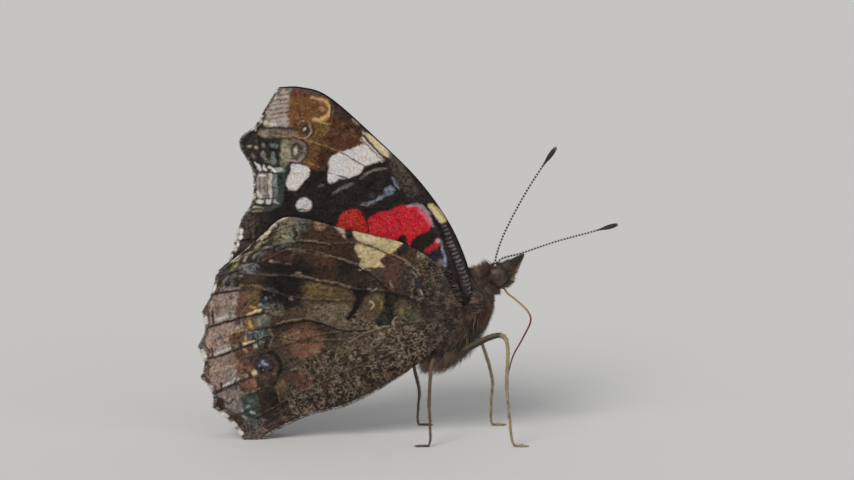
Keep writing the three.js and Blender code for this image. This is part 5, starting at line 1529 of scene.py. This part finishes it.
# Coat: soft hair on head, thorax and abdomen. It is short on the face and the rings of the abdomen, long and
# shaggy on the thorax and the breast, and lies back towards the tail in clumps.
skin_grid = skin_places[:-2].reshape(SKIN_ROWS, SKIN_AROUND, 3)
tailward = np.gradient(skin_grid, axis=0)
roundward = (np.roll(skin_grid, -1, axis=1) - np.roll(skin_grid, 1, axis=1)) / 2
skin_area = np.linalg.norm(np.cross(roundward, tailward), axis=2)
skin_normal = unit(np.cross(roundward, tailward))
skin_lie = unit(tailward)
FOREWING_RING, HINDWING_RING = (
    np.vstack([edge_line(stops, 60) for stops in (costa, outer, hind[::-1], base[::-1])])
    for costa, outer, hind, base in ((FOREWING_COSTA, FOREWING_EDGE, FOREWING_HIND, FOREWING_BASE),
                                     (HINDWING_COSTA, HINDWING_TIPS, HINDWING_INNER, HINDWING_BASE)))


def under_wings(places):
    """Presses hair flat under the wings: where a place lies inside a wing's outline, its distance from the
    middle plane is kept below that of the wing."""
    x, z = places[..., 0], places[..., 2]
    room = np.full(x.shape, 99.0)
    for ring, place in ((FOREWING_RING, forewing_place), (HINDWING_RING, hindwing_place)):
        room = np.where(inside(x, z, ring), np.minimum(room, place(x, z) - 0.02), room)
    places[..., 1] = np.clip(places[..., 1], -room, room)
    return places


def body_tone(root):
    """Colour of the hair by place: brown on the face, dark on the nape, warm brown on the breast and pale
    below it, and grey-brown on the abdomen."""
    x, z = root[:, 0], root[:, 2]
    tone = np.tile(screen(64, 50, 40), (len(root), 1))
    for share, colour in ((rise(7.6, 8.6, x), screen(58, 45, 37)), (rise(9.2, 9.9, x), screen(60, 48, 35)),
                          (rise(11.5, 9.0, z) * rise(1.0, 3.0, x), screen(76, 54, 43)),
                          (rise(2.0, 0.0, x), screen(62, 52, 44)),
                          (rise(2.0, 0.0, x) * rise(0.2, -0.6, z - np.interp(x, [-8.8, 1], [6.2, 10.2])),
                           screen(96, 82, 68))):
        tone = tone + (colour - tone) * np.clip(share, 0, 1)[:, None]
    return tone


# every shade of the coat is turned a little towards red
WARMTH = np.array([1.06, 0.9, 0.84])


def motley(root, draw, size=0.9, stray=0.12):
    """Colour in blotches as on the thorax: two noises in x and z, one from dark through brown to buff and
    one that turns some blotches wine-red and some olive. stray lets single hairs differ from their blotch."""
    x, z = root[:, 0], root[:, 2]
    blotch = wander(x, z, size, 17)[:, None] + stray * draw.normal(size=(len(x), 1))
    tint = wander(x, z, 1.6 * size, 19)[:, None] + 0.1 * draw.normal(size=(len(x), 1))
    tone = np.where(blotch > 0.45, screen(74, 52, 40), screen(24, 20, 18))
    tone = np.where(blotch > 0.6, screen(140, 124, 104), tone)
    tone = np.where((tint > 0.6) & (blotch < 0.6), screen(92, 58, 52), tone)
    return np.where((tint < 0.38) & (blotch < 0.6), screen(56, 56, 44), tone)


def coat(name, count, weight, length, width, stand, lie, seed, droop=0.0):
    """Hair on the body skin: roots drawn at random where weight is high, each pointing along lie lifted by
    stand times the skin's normal, and bent back to the skin and down by droop. A slow noise gathers
    neighbours into clumps of one direction, length and shade."""
    draw = np.random.default_rng(seed)
    chance = (skin_area * weight).ravel()
    row, ring = np.divmod(draw.choice(chance.size, count, p=chance / chance.sum()), SKIN_AROUND)
    shift = draw.uniform(-0.5, 0.5, (2, count, 1))
    root = skin_grid[row, ring] + shift[0] * tailward[row, ring] + shift[1] * roundward[row, ring]
    normal = skin_normal[row, ring]
    clump = wander(row * 1.0, ring * 1.0, 4.5, seed % 40) - 0.5
    second = wander(row * 1.0, ring * 1.0, 5.5, seed % 40 + 3) - 0.5
    lie = unit(np.broadcast_to(lie, skin_grid.shape)[row, ring])
    rise_by = stand * (1 + 0.8 * second)
    lead = unit(lie + rise_by[:, None] * normal + 1.0 * clump[:, None] * np.cross(normal, lie)
                + 0.14 * draw.normal(size=(count, 3)))
    bend = 0.22 * lie - 0.3 * rise_by[:, None] * normal + [0, 0, -droop]
    length = np.broadcast_to(length, line_x.shape)[row, ring] * draw.uniform(0.65, 1.2, count)
    length = length * (1 + 0.5 * second)
    light = (1 + 2.0 * clump + 0.4 * draw.normal(size=count)).clip(0.3, 2.6)
    tone = 1.35 * body_tone(root) * light[:, None]
    width = width * draw.uniform(0.75, 1.3, count)
    blade = blades(root - 0.03 * normal, lead, bend, length, width, 0.55, seed)
    spot = spot_of(row, SKIN_ROWS, ring, SKIN_AROUND)
    tone = tone + 0.85 * rise(8.8, 7.6, root[:, 0])[:, None] * (1.15 * motley(root, draw, 0.75) - tone)
    tone = tone * WARMTH
    tip = np.where(draw.uniform(0, 1, (count, 1)) < 0.2, screen(140, 116, 94), tone * 1.2)
    hair = blade_piece(name, under_wings(blade), (tone * 0.55, tip), spot)


line_x = np.repeat(body_line[:, :1], SKIN_AROUND, axis=1)
low_side = (body_line[:, None, 2] - skin_grid[..., 2]) / stations[:, 3][:, None]
on_thorax = rise(1.2, 2.4, line_x) * rise(8.9, 8.0, line_x)
bare = inside(skin_grid[..., 0], skin_grid[..., 2], HINDWING_RING) * 0.75
front = on_thorax * (1 - bare)
thorax_length = 0.42 + 0.9 * np.clip(low_side, 0, 1) ** 3 * rise(9.0, 6.0, line_x)
thorax_length = thorax_length + 0.45 * rise(-0.2, -0.9, low_side)
# each coat: its name, count, weight, length, width, stand, lie, seed and droop, with sizes in millimetres
for part, seed in enumerate((101, 102)):
    coat(f"thorax_coat_{part + 1}", 5700, front, thorax_length, 0.06, 0.5, skin_lie, seed, 0.12)
coat("breast_shag", 4200, front * rise(0.25, 0.8, low_side) * rise(8.2, 6.6, line_x), 1.6, 0.06, 0.8,
     skin_lie + [0, 0, -0.5], 104, 0.2)
nape = rise(9.3, 8.7, line_x) * rise(5.6, 6.4, line_x) * rise(0.1, -0.6, low_side)
coat("nape_tuft", 3200, nape, 1.05, 0.055, 0.9, [-0.35, 0.0, 0.45], 109)
throat = rise(9.5, 8.9, line_x) * rise(4.6, 6.0, line_x) * rise(0.3, 0.8, low_side)
coat("throat_shag", 5200, throat, 1.1, 0.055, 0.6, [0.7, 0.0, -0.7], 103, 0.1)
on_abdomen = rise(2.2, 0.6, line_x) * rise(-8.8, -8.3, line_x)
coat("abdomen_coat", 5600, on_abdomen, 0.55, 0.055, 0.22, skin_lie, 105)
coat("tail_tuft", 700, rise(-7.6, -8.4, line_x), 0.7, 0.04, 0.3, skin_lie, 106)
on_head = rise(8.3, 8.8, line_x)
brow = np.array([0.75, 0.0, 0.55]) * rise(9.3, 9.9, line_x)[..., None]
head_lie = brow + 0.5 * skin_lie * rise(9.9, 9.3, line_x)[..., None] + [0, 0, 0.15]
coat("head_coat", 6400, on_head, 0.42, 0.03, 0.7, head_lie, 107)
chin = rise(8.7, 9.2, line_x) * rise(0.0, 0.6, low_side)
coat("chin_tuft", 1300, chin, 0.75, 0.04, 0.35, [0.8, 0.0, -0.12], 110)
on_brow = rise(9.7, 10.1, line_x) * rise(0.25, -0.3, low_side)
coat("brow_tuft", 3600, on_brow, 1.0, 0.04, 0.25, [0.85, 0.0, 0.45], 108)


# Hair that hides the joints: tufts over the wing roots, the fur of the palps, and bristles on the eyes.
def tuft_on(name, places, line, count, around, tone, length, width, stand, seed):
    """Hair on a tube of rings: lead is the tube's own direction plus stand times out from its middle line."""
    draw = np.random.default_rng(seed)
    row = draw.integers(1, len(line) - 1, count)
    ring = draw.integers(0, around, count)
    root = places[row * around + ring] + (places[row * around + (ring + 1) % around]
                                          - places[row * around + ring]) * draw.uniform(0, 1, (count, 1))
    out = unit(root - line[row])
    lead = unit(along(line)[row] + stand * out + 0.13 * draw.normal(size=(count, 3)))
    shade = tone(root, out) * draw.uniform(0.6, 1.35, (count, 1))
    length = length * draw.uniform(0.65, 1.25, count)
    width = width * draw.uniform(0.75, 1.3, count)
    bend = 0.2 * along(line)[row] - 0.2 * stand * out
    blade = blades(root - 0.02 * out, lead, bend, length, width, 0.55, seed)
    spot = spot_of(row, len(line), ring, around)
    hair = blade_piece(name, under_wings(blade), (shade * 0.6, shade * 1.2), spot)


def palp_tone(root, out):
    """Blackish olive on top and pale buff along the lower front edge."""
    pale = rise(0.84, 0.96, 0.85 * out[:, 0] - 0.53 * out[:, 2]) * rise(20.6, 18.4, root[:, 2])
    return screen(58, 52, 38) * (1 - pale[:, None]) + screen(186, 160, 134) * pale[:, None]


def places_of(name):
    """Vertices of a piece made earlier, in millimetres."""
    return np.array([v.co for v in bpy.data.objects[name].data.vertices]) / MM


for side, sign in SIDES:
    places = places_of(f"palp_skin_{side}")
    tuft_on(f"palp_coat_{side}", places, palp_lines[side], 3400, PALP_AROUND, palp_tone, 0.36, 0.04, 0.22,
            111)

    # the bristles between the lenses
    places = places_of(f"eye_dome_{side}")
    draw = np.random.default_rng(113)
    count = 500
    at = draw.integers(EYE_AROUND * 22, EYE_AROUND * 48, count)
    out = unit((places[at] - [EYE_X, sign * EYE_Y, EYE_Z]) * [1, 1 / EYE_FLATNESS, 1])
    blade = blades(places[at], out + 0.2 * draw.normal(size=(count, 3)), 0.1 * out,
                   draw.uniform(0.08, 0.16, count), np.full(count, 0.016), 0.8, 113)
    shade = np.tile(screen(66, 50, 38), (count, 1))
    row, ring = np.divmod(at, EYE_AROUND)
    spot = spot_of(row, EYE_ROWS, ring, EYE_AROUND)
    bristle = blade_piece(f"eye_bristles_{side}", blade, (shade * 0.7, shade * 1.2), spot)

    # the down over the hindwing's root
    draw = np.random.default_rng(117)
    count = 5600
    turn, reach = draw.uniform(-2.6, 1.4, count), 7.4 * draw.uniform(0, 1, count) ** 0.8
    root = np.column_stack([HINGE[0] + 0.6 - reach * np.cos(turn) * 0.8, np.zeros(count),
                            HINGE[1] - 0.6 + reach * np.sin(turn)])
    over, near = (inside(root[:, 0] - shift, root[:, 2], HINDWING_RING) for shift in (0.15, 0.9))
    kept = over | (near & (draw.uniform(0, 1, count) > 0.5))
    root, reach = root[kept], reach[kept]
    count = len(root)
    root[:, 1] = hindwing_place(root[:, 0], root[:, 2]) + 0.2
    swirl = wander(root[:, 0], root[:, 2], 0.9, 7) - 0.5
    lead = np.array([-0.9, 0.0, -0.05]) + np.column_stack([0.5 * swirl, np.full(count, 0.28), 1.3 * swirl])
    lead = lead + 0.12 * draw.normal(size=(count, 3))
    shade = (0.72 * WARMTH * motley(root, draw, 0.5, 0.06)
             * (0.65 + 0.7 * wander(root[:, 0], root[:, 2], 2.0, 23))[:, None])
    length = draw.uniform(0.2, 0.42, count) * (1.15 - 0.07 * reach)
    blade = blades(root, lead, np.tile([-0.15, -0.22, -0.1], (count, 1)), length,
                   draw.uniform(0.05, 0.08, count), 0.5, 117)
    spot = np.column_stack([0.6 + 0.02 * root[:, 0], 0.05 + 0.03 * root[:, 2]]).clip(0.01, 0.98)
    cape = blade_piece(f"wing_root_down_{side}", mirrored(blade, sign), (shade * 0.7, shade * 1.15), spot)

    # the flap of long scales that covers the forewing's root from in front
    count = 900
    column = 7.35 + 0.28 * draw.normal(size=count)
    height = 0.5 * draw.normal(size=count)
    root = np.column_stack([column, np.full(count, 2.1), 15.7 + height])
    lead = np.column_stack([np.full(count, -0.62), np.full(count, 0.45), 0.25 + 0.35 * height])
    lead = lead + 0.16 * draw.normal(size=(count, 3))
    shade = 0.95 * WARMTH * motley(root, draw, 0.5, 0.1)
    blade = blades(root, lead, np.tile([-0.2, -0.3, 0.0], (count, 1)), draw.uniform(0.8, 1.3, count),
                   draw.uniform(0.05, 0.08, count), 0.5, 119)
    spot = np.column_stack([0.8 + 0.02 * root[:, 0], 0.5 + 0.02 * root[:, 2]]).clip(0.01, 0.98)
    flap = blade_piece(f"shoulder_flap_{side}", mirrored(blade, sign), (shade * 0.7, shade * 1.2), spot)


# Studio: a plain pale floor, soft light from the upper left in front, and a camera at the height of the wings
# that looks a little down on the insect's right side.
CAMERA_RISE, CAMERA_FAR, LENS_LENGTH = math.radians(8), 250, 95.8
AIM = (1.87, -1.2, 22.33)
FLOOR_METRES, FLOOR_CORNERS = 3, 96

paper, start = finish_of("pale studio paper")
coat_with(paper, (0.72, 0.71, 0.69, 1), 0.9)
angle = np.linspace(0, 2 * np.pi, FLOOR_CORNERS, endpoint=False)
rim = FLOOR_METRES * np.column_stack([np.cos(angle), np.sin(angle), 0 * angle])
disc = bpy.data.meshes.new("studio_floor")
disc.from_pydata(rim.tolist(), [], [list(range(FLOOR_CORNERS))])
disc.materials.append(paper)
floor = bpy.data.objects.new("studio_floor", disc)
bpy.context.scene.collection.objects.link(floor)


def soft_light(name, way, strength, spread, colour):
    """A very broad light from far off: way is the direction it shines in, strength its power on a square
    metre and spread its width in degrees, which softens the shadows."""
    lamp = bpy.data.lights.new(name, "SUN")
    lamp.energy, lamp.angle, lamp.color = strength, math.radians(spread), colour
    shown = bpy.data.objects.new(name, lamp)
    bpy.context.scene.collection.objects.link(shown)
    shown.rotation_euler = Vector(way).to_track_quat("-Z", "Y").to_euler()


soft_light("key_light", (0.45, 0.75, -0.7), 1.9, 30, (1.0, 0.98, 0.95))
soft_light("fill_light", (-0.8, 0.7, -0.25), 0.5, 60, (0.96, 0.98, 1.0))
world = bpy.data.worlds.new("studio")
world.use_nodes = True
world.node_tree.nodes["Background"].inputs["Color"].default_value = (0.9, 0.92, 0.95, 1)
world.node_tree.nodes["Background"].inputs["Strength"].default_value = 0.4
bpy.context.scene.world = world
bpy.context.scene.view_settings.view_transform = "Standard"

lens_data = bpy.data.cameras.new("camera")
lens_data.lens = LENS_LENGTH
lens_data.clip_start = 0.01
camera = bpy.data.objects.new("camera", lens_data)
bpy.context.scene.collection.objects.link(camera)
ahead = Vector((0, math.cos(CAMERA_RISE), -math.sin(CAMERA_RISE)))
camera.location = (Vector(AIM) - ahead * CAMERA_FAR) * MM
camera.rotation_euler = ahead.to_track_quat("-Z", "Y").to_euler()
bpy.context.scene.camera = camera
